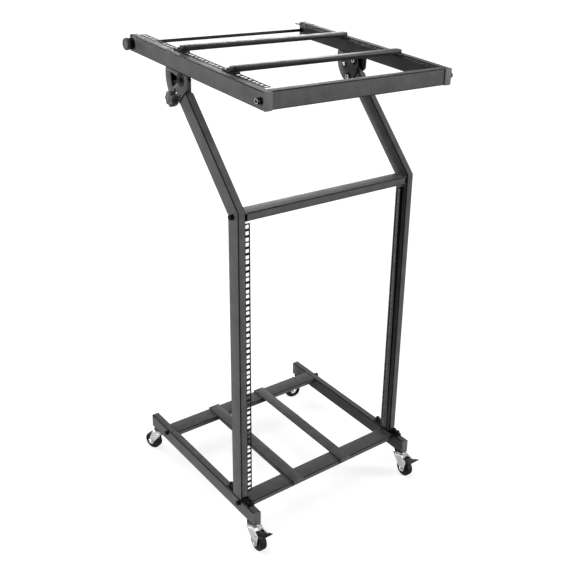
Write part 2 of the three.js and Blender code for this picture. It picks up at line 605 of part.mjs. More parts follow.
// Top frame, drawn level round the pivot
const TOP_BAR_YS = [RAIL.front + TOP_BAR.set_back, RAIL.front + TOP_BAR.set_back + TOP_BAR.deep];
const TOP_BOLT_AT = [(TOP_BAR_YS[0] + TOP_BAR_YS[1]) / 2, RAIL_BOTTOM + TUBE.tall / 2];
const TIE_ROD_AT = [RAIL_REAR - TIE_ROD.from_rear, RAIL_BOTTOM + TUBE.tall / 2];

function topRail(side) {
  const ys = [RAIL.front, RAIL_REAR];
  const section = tubeSection([side * TUBE_X, RAIL_BOTTOM + TUBE.tall / 2], TUBE.wide, TUBE.tall);
  const through = [side * (INNER_X - OVERRUN), side * (OUTER_X + OVERRUN)];
  return cut(pushed(section, 'y', ys), [TOP_BOLT_AT, TIE_ROD_AT].map(
    (at) => rodX(BIG_BOLT.radius + GAP, through, at)));
}

function topStrip(side) {
  const start = TOP_BAR_YS[1] + TOP_STRIP.behind_bar;
  const end = RAIL_REAR - TOP_STRIP.rear_gap;
  const first = start + STRIP.margin;
  const most = Math.ceil((end - start) / RACK.narrow_pitch);
  const places = holePlaces(most).filter((place) => first + place + STRIP.margin <= end);
  const top = RAIL_TOP - TOP_STRIP.below_top;
  return pushed(stripShape(side, start, end, first, places), 'z', [top - STRIP.thick, top]);
}

function topFrontBar() {
  const half = INNER_X - GAP;
  const zs = [RAIL_BOTTOM, RAIL_TOP];
  const inside = half - CROSSBAR.end_wall;
  const body = block([-half, half], TOP_BAR_YS, zs);
  const hollow = block([-inside, inside], [TOP_BAR_YS[0] + TUBE.wall, TOP_BAR_YS[1] - TUBE.wall],
    [zs[0] + TUBE.wall, zs[1] - TUBE.wall]);
  return cut(body, [hollow, rodX(BIG_BOLT.radius + GAP, [-half - OVERRUN, half + OVERRUN], TOP_BOLT_AT)]);
}

function topBarBolt(side) {
  const start = OUTER_X + GAP;
  const end = start + TOP_BAR_BOLT.head_long;
  const head = socketHead(TOP_BAR_BOLT, [side * start, ...TOP_BOLT_AT], [side * end, ...TOP_BOLT_AT]);
  const shankEnd = INNER_X - TOP_BAR_BOLT.shank_in;
  return head.add(rodX(TOP_BAR_BOLT.radius, [side * shankEnd, side * start], TOP_BOLT_AT));
}

function tieRod() {
  const end = OUTER_X + TIE_KNOB.rod_in;
  const inside = INNER_X - GAP;
  const collars = SIDES.map(([, side]) => rodX(TIE_ROD.collar,
    [side * inside, side * (inside - TIE_ROD.collar_long)], TIE_ROD_AT, HEX_SIDES));
  return join([rodX(BIG_BOLT.radius, [-end, end], TIE_ROD_AT), ...collars]);
}

function tieKnob(side) {
  const start = OUTER_X + GAP;
  const step = start + TIE_KNOB.sleeve_long;
  const sleeve = rodX(TIE_KNOB.sleeve, [side * start, side * (step + WELD_OVERLAP)], TIE_ROD_AT);
  const disc = rodX(TIE_KNOB.disc, [side * step, side * (step + TIE_KNOB.disc_long)], TIE_ROD_AT);
  const bore = rodX(BIG_BOLT.radius + GAP,
    [side * (start - OVERRUN), side * (OUTER_X + TIE_KNOB.rod_in + GAP)], TIE_ROD_AT);
  return cut(sleeve.add(disc), [bore]);
}

// Support bars: flat bars with round ends, a shoe under each end, that slide along the strips
const SHOE_BOTTOM = RAIL_TOP - TOP_STRIP.below_top + GAP;
const BAR_BOTTOM = SHOE_BOTTOM + SHOE.thick;

function shoe(side, y) {
  const x = side * (INNER_X - GAP * 2);
  const inner = side * (RACK.opening / 2 + SHOE.inset);
  const top = BAR_BOTTOM + WELD_OVERLAP;
  const body = block([inner, x], [y - SHOE.ahead, y + SHOE.behind], [SHOE_BOTTOM, top]);
  const slotX = (inner + x) / 2;
  const slotEnd = y + SHOE.behind - SHOE.slot_wide;
  const slot = block([slotX - SHOE.slot_wide / 2, slotX + SHOE.slot_wide / 2],
    [slotEnd - SHOE.slot_long, slotEnd], [SHOE_BOTTOM - OVERRUN, top + OVERRUN]);
  return body.subtract(slot);
}

function supportBar(y) {
  const radius = SUPPORT.wide / 2;
  const straight = INNER_X - SUPPORT.end_gap - radius;
  const end = (side) => Array.from({ length: ROUND_STEPS / 2 + 1 }, (_, i) => {
    const angle = (i / (ROUND_STEPS / 2) - 1 / 2) * Math.PI;
    return [side * (straight + radius * Math.cos(angle)), y + side * radius * Math.sin(angle)];
  });
  const bar = pushed(outline([...end(1), ...end(-1)]), 'z', [BAR_BOTTOM, BAR_BOTTOM + SUPPORT.tall]);
  return join([bar, ...SIDES.map(([, side]) => shoe(side, y))]);
}

// Assembly
const stand = new THREE.Group();
const topFrame = new THREE.Group();
topFrame.position.set(0, PIVOT_Y, PIVOT_Z);
topFrame.rotation.x = REST_TILT;
stand.add(topFrame);
const knuckles = new THREE.Group();
knuckles.position.set(0, PIVOT_Y, PIVOT_Z);
stand.add(knuckles);

function addBase() {
  for (const [name, side] of SIDES) {
    stand.add(meshOf(`${name}_runner`, runner(side), FRAME_PAINT));
    stand.add(meshOf(`${name}_post_foot`, postFoot(side), BLACK_STEEL));
    stand.add(meshOf(`${name}_post`, post(side), FRAME_PAINT));
    stand.add(meshOf(`${name}_post_strip`, postStrip(side), STRIP_PAINT));
    const [frontBolt, rearBolt] = crossbarBoltYs().map(
      (y) => clampBolt(side, [y, CROSSBAR_BOLT_Z], CLAMP_NUT_X));
    stand.add(meshOf(`front_${name}_crossbar_bolt`, frontBolt, BLACK_STEEL));
    stand.add(meshOf(`rear_${name}_crossbar_bolt`, rearBolt, BLACK_STEEL));
    stand.add(meshOf(`${name}_mid_bar_bolt`, clampBolt(side, MID_BAR_BOLT, CLAMP_NUT_X), BLACK_STEEL));
  }
  stand.add(meshOf('front_base_crossbar', baseCrossbar(CROSSBAR.front), FRAME_PAINT));
  stand.add(meshOf('rear_base_crossbar', baseCrossbar(CROSSBAR.rear), FRAME_PAINT));
  stand.add(meshOf('left_shelf_strap', strap(STRAP.left_x, -1), FRAME_PAINT));
  stand.add(meshOf('right_shelf_strap', strap(STRAP.right_x, 1), FRAME_PAINT));
  stand.add(meshOf('mid_crossbar', midCrossbar(), FRAME_PAINT));
}

function addCaster(name, x, y, heading, braked) {
  stand.add(meshOf(`${name}_caster_stem`, casterStem(x, y), ZINC));
  const swivel = new THREE.Group();
  swivel.position.set(x, y, 0);
  swivel.rotation.z = heading;
  swivel.add(meshOf(`${name}_caster_fork`, fork(braked), ZINC));
  swivel.add(meshOf(`${name}_caster_wheel`, wheel(), TYRE));
  swivel.add(meshOf(`${name}_caster_axle`, axle(), ZINC));
  if (braked) swivel.add(meshOf(`${name}_brake_pedal`, pedal(), BLACK_PLASTIC));
  stand.add(swivel);
}

function addCasters() {
  const { front, rear } = swivelPlaces();
  addCaster('front_left', -TUBE_X, front, Math.PI, true);
  addCaster('front_right', TUBE_X, front, Math.PI, true);
  addCaster('rear_left', -TUBE_X, rear, REAR_LEFT_HEADING, false);
  addCaster('rear_right', TUBE_X, rear, REAR_RIGHT_HEADING, false);
}

function addTopFrame() {
  for (const [name, side] of SIDES) {
    topFrame.add(meshOf(`${name}_top_rail`, topRail(side), FRAME_PAINT));
    topFrame.add(meshOf(`${name}_top_strip`, topStrip(side), STRIP_PAINT));
    topFrame.add(meshOf(`${name}_top_bar_bolt`, topBarBolt(side), BLACK_STEEL));
    topFrame.add(meshOf(`${name}_tilt_bracket`, tiltBracket(side), FRAME_PAINT));
    topFrame.add(meshOf(`${name}_pivot_bolt`, pivotBolt(side), ZINC));
    topFrame.add(meshOf(`${name}_lock_bolt`, lockBolt(side), ZINC));
    topFrame.add(meshOf(`${name}_lock_knob`, lockKnob(side), GREY_PLASTIC));
    topFrame.add(meshOf(`${name}_tie_knob`, tieKnob(side), GREY_PLASTIC));
    knuckles.add(meshOf(`${name}_arm_tongue`, tongue(side), BLACK_STEEL));
  }
  topFrame.add(meshOf('top_front_bar', topFrontBar(), FRAME_PAINT));
  topFrame.add(meshOf('rear_tie_rod', tieRod(), BLACK_STEEL));
  topFrame.add(meshOf('front_support_bar', supportBar(SUPPORT.front_y), FRAME_PAINT));
  topFrame.add(meshOf('rear_support_bar', supportBar(SUPPORT.rear_y), FRAME_PAINT));
}

addBase();
addCasters();
addTopFrame();

// The origin is the middle of the floor space that the stand covers
const covered = new THREE.Box3().setFromObject(stand);
stand.position.y = -(covered.min.y + covered.max.y) / 2;

export default stand;
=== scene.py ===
"""Looks of the studio rack stand: powder-coated tube frame, perforated rack strips, tilt knuckles,
moulded knobs and zinc casters. Shapes are worked out in millimetres in the axes of the body that
carries them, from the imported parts' own corners, and set down in metres."""
import json
import math

import bmesh
import bpy
import numpy as np
from mathutils import Matrix, Vector


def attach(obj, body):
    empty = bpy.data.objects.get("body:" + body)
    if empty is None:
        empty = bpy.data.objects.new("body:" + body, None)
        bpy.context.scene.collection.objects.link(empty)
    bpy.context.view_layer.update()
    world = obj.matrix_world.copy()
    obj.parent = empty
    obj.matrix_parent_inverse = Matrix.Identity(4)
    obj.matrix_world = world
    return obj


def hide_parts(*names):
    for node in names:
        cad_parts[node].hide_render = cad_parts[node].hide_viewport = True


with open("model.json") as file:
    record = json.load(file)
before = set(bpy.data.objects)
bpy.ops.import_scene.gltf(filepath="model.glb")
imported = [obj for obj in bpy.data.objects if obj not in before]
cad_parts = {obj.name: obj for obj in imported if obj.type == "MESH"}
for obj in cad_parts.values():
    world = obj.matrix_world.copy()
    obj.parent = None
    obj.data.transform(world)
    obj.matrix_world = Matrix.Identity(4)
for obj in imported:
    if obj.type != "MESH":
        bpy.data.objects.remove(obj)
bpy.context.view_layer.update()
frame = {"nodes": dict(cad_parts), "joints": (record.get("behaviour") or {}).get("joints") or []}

MM = 0.001
SIDES = (("left", -1), ("right", 1))
CORNERS = ("front_left", "front_right", "rear_left", "rear_right")

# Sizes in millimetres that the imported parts' corners don't give. A profile is pairs of a radius and
# an offset. Sizes that serve one kind of piece stand above its function.
TUBE = {"wall": 1.5, "corner": 2.4}
SHEET = {"thick": 1.5, "fold": 1.8, "end_wall": 3.0, "corner": 0.6, "edge": 0.2}
# How far a piece that lies on another is let into it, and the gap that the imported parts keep
SUNK = 0.05
GAP = 0.3
# Smallest corner of a section, and the distance at which points are merged
LEAST_CORNER = 0.3
MERGED = 0.002
# Largest share of a side that the easing of a polygon's corner takes up
EASED_SHARE = 0.45
# Widest step round a bend, and shortest run along it, of the faces that get painted shade
SHADED_BEND = {"step": 0.9, "run": 100.0}
ARM_LEAN = math.radians(44)


def joint(name):
    """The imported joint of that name."""
    return next(j for j in frame["joints"] if j["name"] == name)


def turned_about(point, angle, axis):
    """The place at a point in metres, turned about one of its axes."""
    return Matrix.Translation(Vector(point)) @ Matrix.Rotation(angle, 4, axis)


def caster_place(corner):
    """The place on a caster's swivel axis at floor height, its Y axis along the trail."""
    swivel = Vector(joint(f"{corner}_swivel")["pos_m"])
    trail = Vector(joint(f"{corner}_wheel_roll")["pos_m"]) - swivel
    swivel.z = 0
    return turned_about(swivel, math.atan2(-trail.x, trail.y), "Z")


PIVOT = joint("top_frame_tilt")["pos_m"]
RAIL_WAY = joint("front_support_bar_slide")["axis"]
GROUND = Matrix.Identity(4)
ARM_TOP = Matrix.Translation(Vector(PIVOT))
TOP = turned_about(PIVOT, math.atan2(RAIL_WAY[2], RAIL_WAY[1]), "X")
CASTER = {corner: caster_place(corner) for corner in CORNERS}


def carried(points, place):
    """Points moved by a place: turned by its axes, then shifted by its origin."""
    matrix = np.array(place)
    return points @ matrix[:3, :3].T + matrix[:3, 3]


def extent(node, place=GROUND):
    """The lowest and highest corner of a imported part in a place's own axes, in millimetres."""
    mesh = frame["nodes"][node].data
    points = np.empty(len(mesh.vertices) * 3, np.float32)
    mesh.vertices.foreach_get("co", points)
    local = carried(points.reshape(-1, 3).astype(float), place.inverted()) / MM
    return local.min(0), local.max(0)


def joint_spot(name, place):
    """A joint's point in a place's own axes, in millimetres."""
    return carried(np.array([joint(name)["pos_m"]]), place.inverted())[0] / MM


def middle_line(low, high):
    """A point of the line along X through the middle of the box between two corners."""
    return [0, (low[1] + high[1]) / 2, (low[2] + high[2]) / 2]


def outer_and_inner(low, high, side):
    """A part's two ends along X, the one away from the middle of the stand first."""
    return (high[0], low[0]) if side > 0 else (low[0], high[0])


# Shells: closed surfaces as a list of points and a list of faces
def skin(rings, round_closed=False):
    """Rings of points joined in order by four-sided faces. The two ends are closed by flat faces,
    or joined to each other where the rings run round."""
    rings = np.asarray(rings, float)
    count, around = rings.shape[:2]
    spans = count if round_closed else count - 1
    ring, spot = np.meshgrid(np.arange(spans), np.arange(around), indexing="ij")
    after, beside = (ring + 1) % count, (spot + 1) % around
    corners = [ring * around + spot, ring * around + beside, after * around + beside, after * around + spot]
    faces = np.stack(corners, -1).reshape(-1, 4).tolist()
    if not round_closed:
        last = (count - 1) * around
        faces += [list(range(around)), list(range(last, last + around))]
    return rings.reshape(-1, 3), faces


# For each axis the two across it, then the axis itself
AXES = {"x": (1, 2, 0), "y": (0, 2, 1), "z": (0, 1, 2)}


def unit(angle):
    """Flat directions at angles from the first of their two axes."""
    return np.stack([np.cos(angle), np.sin(angle)], -1)


def stations(profiles, offsets, axis):
    """Flat profiles stood square to an axis, one at each offset along it."""
    first, second, along = AXES[axis]
    profiles = np.asarray(profiles, float)
    rings = np.empty((len(offsets), profiles.shape[-2], 3))
    rings[..., first] = profiles[..., 0]
    rings[..., second] = profiles[..., 1]
    rings[..., along] = np.asarray(offsets, float)[:, None]
    return rings


def rounded(low, high, radius, steps=5):
    """A rectangle between two corners with a quarter circle at each of its own corners."""
    low, high = np.array(low, float), np.array(high, float)
    angle = np.linspace(0, np.pi / 2, steps + 1)
    centre, half = (low + high) / 2, (high - low) / 2 - radius
    turns = np.arange(4) * np.pi / 2
    signs = np.sign(unit(turns + np.pi / 4))
    arcs = unit(turns[:, None] + angle) * radius
    return (arcs + (signs * half)[:, None] + centre).reshape(-1, 2)


def box_profile(low, high, axis, radius, inset=0.0, steps=5):
    """The rounded section, square to an axis, of the box between two corners."""
    first, second, _ = AXES[axis]
    pick = [first, second]
    return rounded(low[pick] + inset, high[pick] - inset, max(radius - inset, LEAST_CORNER), steps)


def bar(low, high, axis, radius, chamfer=0.5):
    """A solid bar between two corners: a rounded section drawn in a little at both ends."""
    along = AXES[axis][2]
    full = box_profile(low, high, axis, radius)
    small = box_profile(low, high, axis, radius, chamfer)
    start, end = low[along], high[along]
    offsets = [start, start + chamfer, end - chamfer, end]
    return skin(stations([small, full, full, small], offsets, axis))


def tube(low, high, axis, radius=TUBE["corner"], wall=TUBE["wall"]):
    """A square-ended tube: the outer section out and the bore back, joined at both mouths."""
    along = AXES[axis][2]
    outer = box_profile(low, high, axis, radius)
    bore = box_profile(low, high, axis, radius, wall)
    start, end = low[along], high[along]
    return skin(stations([outer, outer, bore, bore], [start, end, end, start], axis), True)


def turned(profile, centre, axis, steps=40, round_closed=False):
    """A profile of radius and offset spun about an axis through a centre."""
    angle = np.linspace(0, 2 * np.pi, steps, endpoint=False)
    radius, offset = np.asarray(profile, float).T
    rings = stations(radius[:, None, None] * unit(angle), offset, axis)
    return skin(rings + np.asarray(centre, float), round_closed)


def placed(profile, start, way=1):
    """A profile with its offsets counted from a start: up the axis for 1 and down it for -1."""
    return [(radius, start + way * offset) for radius, offset in profile]


def rounded_rod(radius, start, end, centre, axis, edge=0.5, steps=32):
    """A round bar between two offsets, its rims broken by a small chamfer."""
    way = edge if end > start else -edge
    profile = [(radius - edge, start), (radius, start + way), (radius, end - way), (radius - edge, end)]
    return turned(profile, centre, axis, steps)


def hexagon(radius, steps=48):
    """Radius of a hexagon at even steps round it: its flat's distance over the cosine of the angle
    from that flat's middle."""
    angle = np.linspace(0, 2 * np.pi, steps, endpoint=False)
    third = np.pi / 3
    return radius * np.cos(third / 2) / np.cos(angle % third - third / 2), angle


# The cone that a hexagon head is turned under: shares of its radius and of its height
HEX_CONE = [(0.93, 0), (1.0, 0.1), (1.0, 0.72), (0.96, 0.8), (0.91, 0.9), (0.85, 1.0)]


def hex_head(radius, start, end, centre, axis):
    """A hexagon head: the hexagon's radius held under a cone that closes in towards the outer end."""
    reach, angle = hexagon(radius)
    cone, share = np.array(HEX_CONE).T
    size = np.minimum(reach, radius * cone[:, None])
    profiles = size[..., None] * unit(angle)
    return skin(stations(profiles, start + (end - start) * share, axis) + np.asarray(centre, float))


def socket_head(radius, seat, face, centre, axis, socket, deep):
    """A round cap head with a hexagon socket: up its side, over its rim and down into the socket,
    whose walls follow the hexagon's radius and close in a little towards its floor."""
    way = 1 if face > seat else -1
    foot, rim, mouth, ground = 0.4, 0.6, 1.08, 0.98
    reach, angle = hexagon(socket)
    flat = np.ones_like(angle)
    radii = [(radius - foot) * flat, radius * flat, radius * flat, (radius - rim) * flat,
             mouth * reach, reach, ground * reach]
    offsets = [seat, seat + way * foot, face - way * rim, face, face, face - way * foot, face - way * deep]
    profiles = np.array(radii)[..., None] * unit(angle)
    return skin(stations(profiles, offsets, axis) + np.asarray(centre, float))


def washer(radius, start, end, centre, axis):
    """A flat ring under a head."""
    return rounded_rod(radius, start, end, centre, axis, edge=0.25, steps=40)


def flat_ring(inner, outer, start, end, centre, bevel=0.4):
    """A flat ring along X: its bore, then its rim with two small bevels, closed on itself."""
    inward = math.copysign(bevel, end - start)
    profile = [(inner, start), (outer, start), (outer, end - inward), (outer - bevel, end),
               (inner + bevel, end), (inner, end - inward)]
    return turned(profile, centre, "x", 48, round_closed=True)


# A washer's thickness, how far the head is let into it and how far the shank reaches up it
WASHER = {"thick": 1.1, "lap": 0.1, "shank_in": 0.5}


def cap_bolt(sizes, outer, inner, side, centre):
    """A bolt along X from its outer to its inner end: a washer, a socket head on it and the shank."""
    seat = outer - side * sizes["head_long"]
    head_seat = seat + side * (WASHER["thick"] - WASHER["lap"])
    return [washer(sizes["washer"], seat, seat + side * WASHER["thick"], centre, "x"),
            socket_head(sizes["head"], head_seat, outer, centre, "x", sizes["socket"], sizes["socket_deep"]),
            rounded_rod(sizes["shank"], inner, seat + side * WASHER["shank_in"], centre, "x")]


def softened(points, radius, steps=4):
    """A polygon whose corners are eased: each corner becomes a quadratic curve between the points
    that lie a radius before and after it."""
    points = np.asarray(points, float)
    before, after = np.roll(points, 1, 0), np.roll(points, -1, 0)

    def towards(target):
        way = target - points
        length = np.linalg.norm(way, axis=1, keepdims=True)
        return points + way * np.minimum(radius / length, EASED_SHARE)

    share = np.linspace(0, 1, steps + 1)[:, None, None]
    start, end = towards(before), towards(after)
    curve = start * (1 - share) ** 2 + 2 * points * share * (1 - share) + end * share ** 2
    return curve.transpose(1, 0, 2).reshape(-1, 2)


def circle(radius, centre=(0, 0), steps=32):
    """Points of a circle."""
    return unit(np.linspace(0, 2 * np.pi, steps, endpoint=False)) * radius + centre


def wound(points, way):
    """The same outline, run anticlockwise for 1 and clockwise for -1."""
    x, y = points.T
    area = np.sum(x * np.roll(y, -1) - y * np.roll(x, -1))
    return points if area * way > 0 else points[::-1]


def plate(outline, holes, ends, axis, edge=0.4):
    """A flat outline with holes, given its thickness between two places along an axis, with its
    edges and the rims of its holes rounded."""
    curve = bpy.data.curves.new("flat outline", "CURVE")
    curve.dimensions = "2D"
    curve.fill_mode = "BOTH"
    rims = [wound(np.asarray(outline, float), 1)] + [wound(np.asarray(hole, float), -1) for hole in holes]
    for rim in rims:
        spline = curve.splines.new("POLY")
        spline.points.add(len(rim) - 1)
        homogeneous = np.column_stack([rim, np.zeros(len(rim)), np.ones(len(rim))])
        spline.points.foreach_set("co", homogeneous.ravel())
        spline.use_cyclic_u = True
    low, high = min(ends), max(ends)
    curve.extrude = (high - low) / 2 - edge
    curve.bevel_depth = edge
    curve.bevel_resolution = 1
    curve.offset = -edge
    holder = bpy.data.objects.new("flat outline", curve)
    mesh = bpy.data.meshes.new_from_object(holder)
    flat = np.empty(len(mesh.vertices) * 3)
    mesh.vertices.foreach_get("co", flat)
    flat = flat.reshape(-1, 3)
    first, second, along = AXES[axis]
    points = np.empty_like(flat)
    points[:, first] = flat[:, 0]
    points[:, second] = flat[:, 1]
    points[:, along] = flat[:, 2] + (low + high) / 2
    faces = [list(face.vertices) for face in mesh.polygons]
    bpy.data.objects.remove(holder)
    bpy.data.curves.remove(curve)
    bpy.data.meshes.remove(mesh)
    return points, faces


def mark_shaded_bends(mesh):
    """Marks the long narrow faces of a tube's or sheet's rounded corners, for the painted shade that the
    coat's colour lays on them: each face's shortest side lies under the widest step, and its longest over the
    shortest run."""
    spots = np.empty(len(mesh.vertices) * 3, np.float32)
    mesh.vertices.foreach_get("co", spots)
    ends = np.empty(len(mesh.edges) * 2, np.int32)
    mesh.edges.foreach_get("vertices", ends)
    used = np.empty(len(mesh.loops), np.int32)
    mesh.loops.foreach_get("edge_index", used)
    first = np.empty(len(mesh.polygons), np.int32)
    mesh.polygons.foreach_get("loop_start", first)
    start, end = spots.reshape(-1, 3)[ends.reshape(-1, 2)].transpose(1, 0, 2) / MM
    sides = np.linalg.norm(end - start, axis=1)[used]
    narrow = np.minimum.reduceat(sides, first) < SHADED_BEND["step"]
    long = np.maximum.reduceat(sides, first) > SHADED_BEND["run"]
    # The mask for the painted shade on the rounded corners
    mesh.attributes.new("bend", "FLOAT", "FACE").data.foreach_set("value", (narrow & long).astype(np.float32))


def in_scene(name, data, place=GROUND):
    """A new object in the scene that shows the data at a place in metres."""
    made = bpy.data.objects.new(name, data)
    made.matrix_world = place
    bpy.context.scene.collection.objects.link(made)
    return made


def piece(name, shells, place, body, look, nodes=(), sharp=32):
    """One finished piece: closed shells in a place's own millimetres, set down in metres."""
    starts = np.cumsum([0] + [len(points) for points, _ in shells])
    points = carried(np.concatenate([shell[0] for shell in shells]) * MM, place)
    faces = [np.add(face, start).tolist() for start, shell in zip(starts, shells) for face in shell[1]]
    mesh = bpy.data.meshes.new(name)
    mesh.from_pydata(points.tolist(), [], faces)
    work = bmesh.new()
    work.from_mesh(mesh)
    bmesh.ops.remove_doubles(work, verts=work.verts, dist=MERGED * MM)
    bmesh.ops.recalc_face_normals(work, faces=work.faces)
    work.to_mesh(mesh)
    work.free()
    mesh.shade_smooth()
    mesh.set_sharp_from_angle(angle=math.radians(sharp))
    if look["shaded_bends"]:
        mark_shaded_bends(mesh)
    mesh.materials.append(look["material"])
    made = in_scene(name, mesh)
    if nodes:
        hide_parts(*nodes)
    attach(made, body)
    return made


# Finishes
def linear(code):
    """An sRGB hex colour as linear red, green, blue and alpha."""
    values = [int(code[i:i + 2], 16) / 255 for i in (1, 3, 5)]
    return [v / 12.92 if v <= 0.04045 else ((v + 0.055) / 1.055) ** 2.4 for v in values] + [1.0]


def per(size):
    """Pattern scale for a feature of that size in millimetres, on coordinates in metres."""
    return 1 / (size * MM)


def add(tree, kind, settings=None, inputs=None):
    """Adds a node, sets its settings, and fills or links its inputs."""
    node = tree.nodes.new(kind)
    for name, value in (settings or {}).items():
        setattr(node, name, value)
    for name, value in (inputs or {}).items():
        if isinstance(value, bpy.types.NodeSocket):
            tree.links.new(value, node.inputs[name])
        else:
            node.inputs[name].default_value = value
    return node


def bare_tree(holder):
    """The empty node tree of a material or a world."""
    holder.use_nodes = True
    holder.node_tree.nodes.clear()
    return holder.node_tree


# The span that most of a noise pattern's values lie in
NOISE_SPAN = (0.3, 0.7)


def finish(name, slot, dark, light, cloud, rough, grain, height, metallic=0.0, specular=0.5, bend=None):
    """A finish whose colour and gloss drift between two values in soft clouds, over a fine grain.
    Sizes of clouds and grain and the grain's height are millimetres. A bend colour, painted shade, lies over
    the faces that mark_shaded_bends marks."""
    material = bpy.data.materials.new(name)
    tree = bare_tree(material)
    shader = add(tree, "ShaderNodeBsdfPrincipled")
    add(tree, "ShaderNodeOutputMaterial", inputs={"Surface": shader.outputs[0]})
    place = add(tree, "ShaderNodeTexCoord").outputs["Object"]
    drift = add(tree, "ShaderNodeTexNoise", inputs={"Vector": place, "Scale": per(cloud), "Detail": 3.0})
    level = drift.outputs["Fac"]
    colour = add(tree, "ShaderNodeMix", {"data_type": "RGBA"}, {0: level, 6: linear(dark), 7: linear(light)})
    gloss = add(tree, "ShaderNodeMapRange",
                inputs={"Value": level, "From Min": NOISE_SPAN[0], "From Max": NOISE_SPAN[1],
                        "To Min": rough[0], "To Max": rough[1]})
    fine = add(tree, "ShaderNodeTexNoise", inputs={"Vector": place, "Scale": per(grain), "Detail": 2.0})
    bump = add(tree, "ShaderNodeBump",
               inputs={"Height": fine.outputs["Fac"], "Distance": height * MM, "Strength": 1.0})
    tone = colour.outputs[2]
    # The bend colour is painted shade over the faces of the rounded corners
    if bend:
        shade_mark = add(tree, "ShaderNodeAttribute", {"attribute_name": "bend"})
        over = add(tree, "ShaderNodeMix", {"data_type": "RGBA"},
                   {0: shade_mark.outputs["Fac"], 6: tone, 7: linear(bend)})
        tone = over.outputs[2]
    tree.links.new(tone, shader.inputs["Base Color"])
    tree.links.new(gloss.outputs["Result"], shader.inputs["Roughness"])
    tree.links.new(bump.outputs["Normal"], shader.inputs["Normal"])
    shader.inputs["Metallic"].default_value = metallic
    shader.inputs["Specular IOR Level"].default_value = specular
    return {"material": material, "slot": slot, "shaded_bends": bend is not None}


# Polyester powder coat, sprayed and baked: satin black with an orange peel of about 1.5 mm that breaks its
# highlights up, faint clouds where the coat is thicker, and painted shade on the rounded corners of the
# tube's bends, which draws the dark line between two faces
POWDER_COAT = finish("satin polyester powder coat", "frame_paint", "#3f3f3f", "#5e5e5e", cloud=28,
                     rough=(0.36, 0.5), grain=1.5, height=0.05, specular=0.1, bend="#0f0f0f")
# The same coat, duller on the stamped strips, and darkened there as painted shade
SHADED_STRIP_COAT = finish("powder coat on stamped strip, painted shade", "strip_paint", "#171717", "#202020", cloud=30,
                    rough=(0.4, 0.52), grain=1.2, height=0.05, specular=0.05)
# The frame's coat on the support bars, rubbed smoother than the frame so its highlights are sharper, and
# darkened as painted shade
SHADED_BAR_COAT = finish("frame coat on bars, painted shade", "frame_paint", "#191919", "#242424", cloud=35,
                  rough=(0.28, 0.38), grain=1.5, height=0.04, specular=0.12)
# Steel blackened in hot salts and oiled: near black, with a low metal sheen
BLACK_OXIDE = finish("black oxide steel", "black_steel", "#0b0b0b", "#141414", cloud=12,
                     rough=(0.34, 0.48), grain=0.8, height=0.02, metallic=0.2, specular=0.12)
# Glass-filled nylon from an etched mould: dark grey, with a leathery grain
MOULDED_NYLON = finish("moulded nylon", "knob_plastic", "#393939", "#444444", cloud=15,
                       rough=(0.45, 0.6), grain=0.9, height=0.06)
# The same nylon left black on the tie rod's sleeves and the knuckles' rings: darker and smoother
BLACK_NYLON = finish("moulded black nylon", "knob_plastic", "#0d0d0d", "#151515", cloud=12,
                     rough=(0.42, 0.54), grain=0.9, height=0.03, specular=0.1)
# Polyethylene end caps: softer grey than the paint round them
MOULDED_CAP = finish("moulded polyethylene cap", "knob_plastic", "#484848", "#525252", cloud=20,
                     rough=(0.45, 0.58), grain=1.0, height=0.04)
# Bright zinc plate with its clear passivation: white metal, patches a few millimetres across
ZINC_PLATE = finish("bright zinc plate", "zinc", "#d1d1d1", "#e5e5e5", cloud=6,
                    rough=(0.2, 0.32), grain=0.7, height=0.01, metallic=1.0)
# Hard rubber tread: deep black and dull, lightly scuffed
HARD_RUBBER = finish("hard rubber tread", "wheel_black", "#0a0a0a", "#121212", cloud=9,
                     rough=(0.5, 0.68), grain=0.6, height=0.03, specular=0.15)
# Moulded pedal: black nylon with a slight shine
PEDAL_NYLON = finish("moulded pedal nylon", "pedal_black", "#101010", "#1a1a1a", cloud=10,
                     rough=(0.38, 0.5), grain=0.8, height=0.03, specular=0.15)


# Base frame
CAP = {"face": 2.2, "dome": 0.8, "proud": 0.5, "plug": 8.0, "plug_clear": 0.1, "plug_corner": 1.0,
       "plug_edge": 0.3}


def end_cap(name, low, high, way, place, body):
    """A moulded cap over a tube's mouth: a face a little larger than the tube, domed at its rim, and
    a plug inside. Low and high are the tube's corners; way is -1 at its front and 1 at its rear."""
    mouth = low[1] if way < 0 else high[1]
    lip_low, lip_high = low - CAP["proud"], high + CAP["proud"]
    face = box_profile(lip_low, lip_high, "y", TUBE["corner"] + CAP["proud"])
    brow = box_profile(lip_low, lip_high, "y", TUBE["corner"], CAP["dome"] / 2)
    crown = box_profile(lip_low, lip_high, "y", TUBE["corner"], CAP["dome"] * 2)
    offsets = [SUNK, CAP["face"] - CAP["dome"], CAP["face"] - CAP["dome"] / 4, CAP["face"]]
    shell = skin(stations([face, face, brow, crown], mouth + way * np.array(offsets), "y"))
    inset = TUBE["wall"] + CAP["plug_clear"]
    inner_low, inner_high = low + inset, high - inset
    inner_low[1], inner_high[1] = sorted((mouth, mouth - way * CAP["plug"]))
    plug = bar(inner_low, inner_high, "y", CAP["plug_corner"], CAP["plug_edge"])
    piece(name, [shell, plug], place, body, MOULDED_CAP)


def capped_tube(node, place, body):
    """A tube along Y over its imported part, with a moulded cap at each mouth."""
    low, high = extent(node, place)
    piece(f"{node}_tube", [tube(low, high, "y")], place, body, POWDER_COAT, [node])
    end_cap(f"{node}_front_cap", low, high, -1, place, body)
    end_cap(f"{node}_rear_cap", low, high, 1, place, body)


def runners():
    """The two tubes that the casters carry."""
    for name, _ in SIDES:
        capped_tube(f"{name}_runner", GROUND, "base")


# How far the hem along a channel's lower edges stands out, and how tall it is
HEM = {"proud": 0.7, "tall": 2.6}


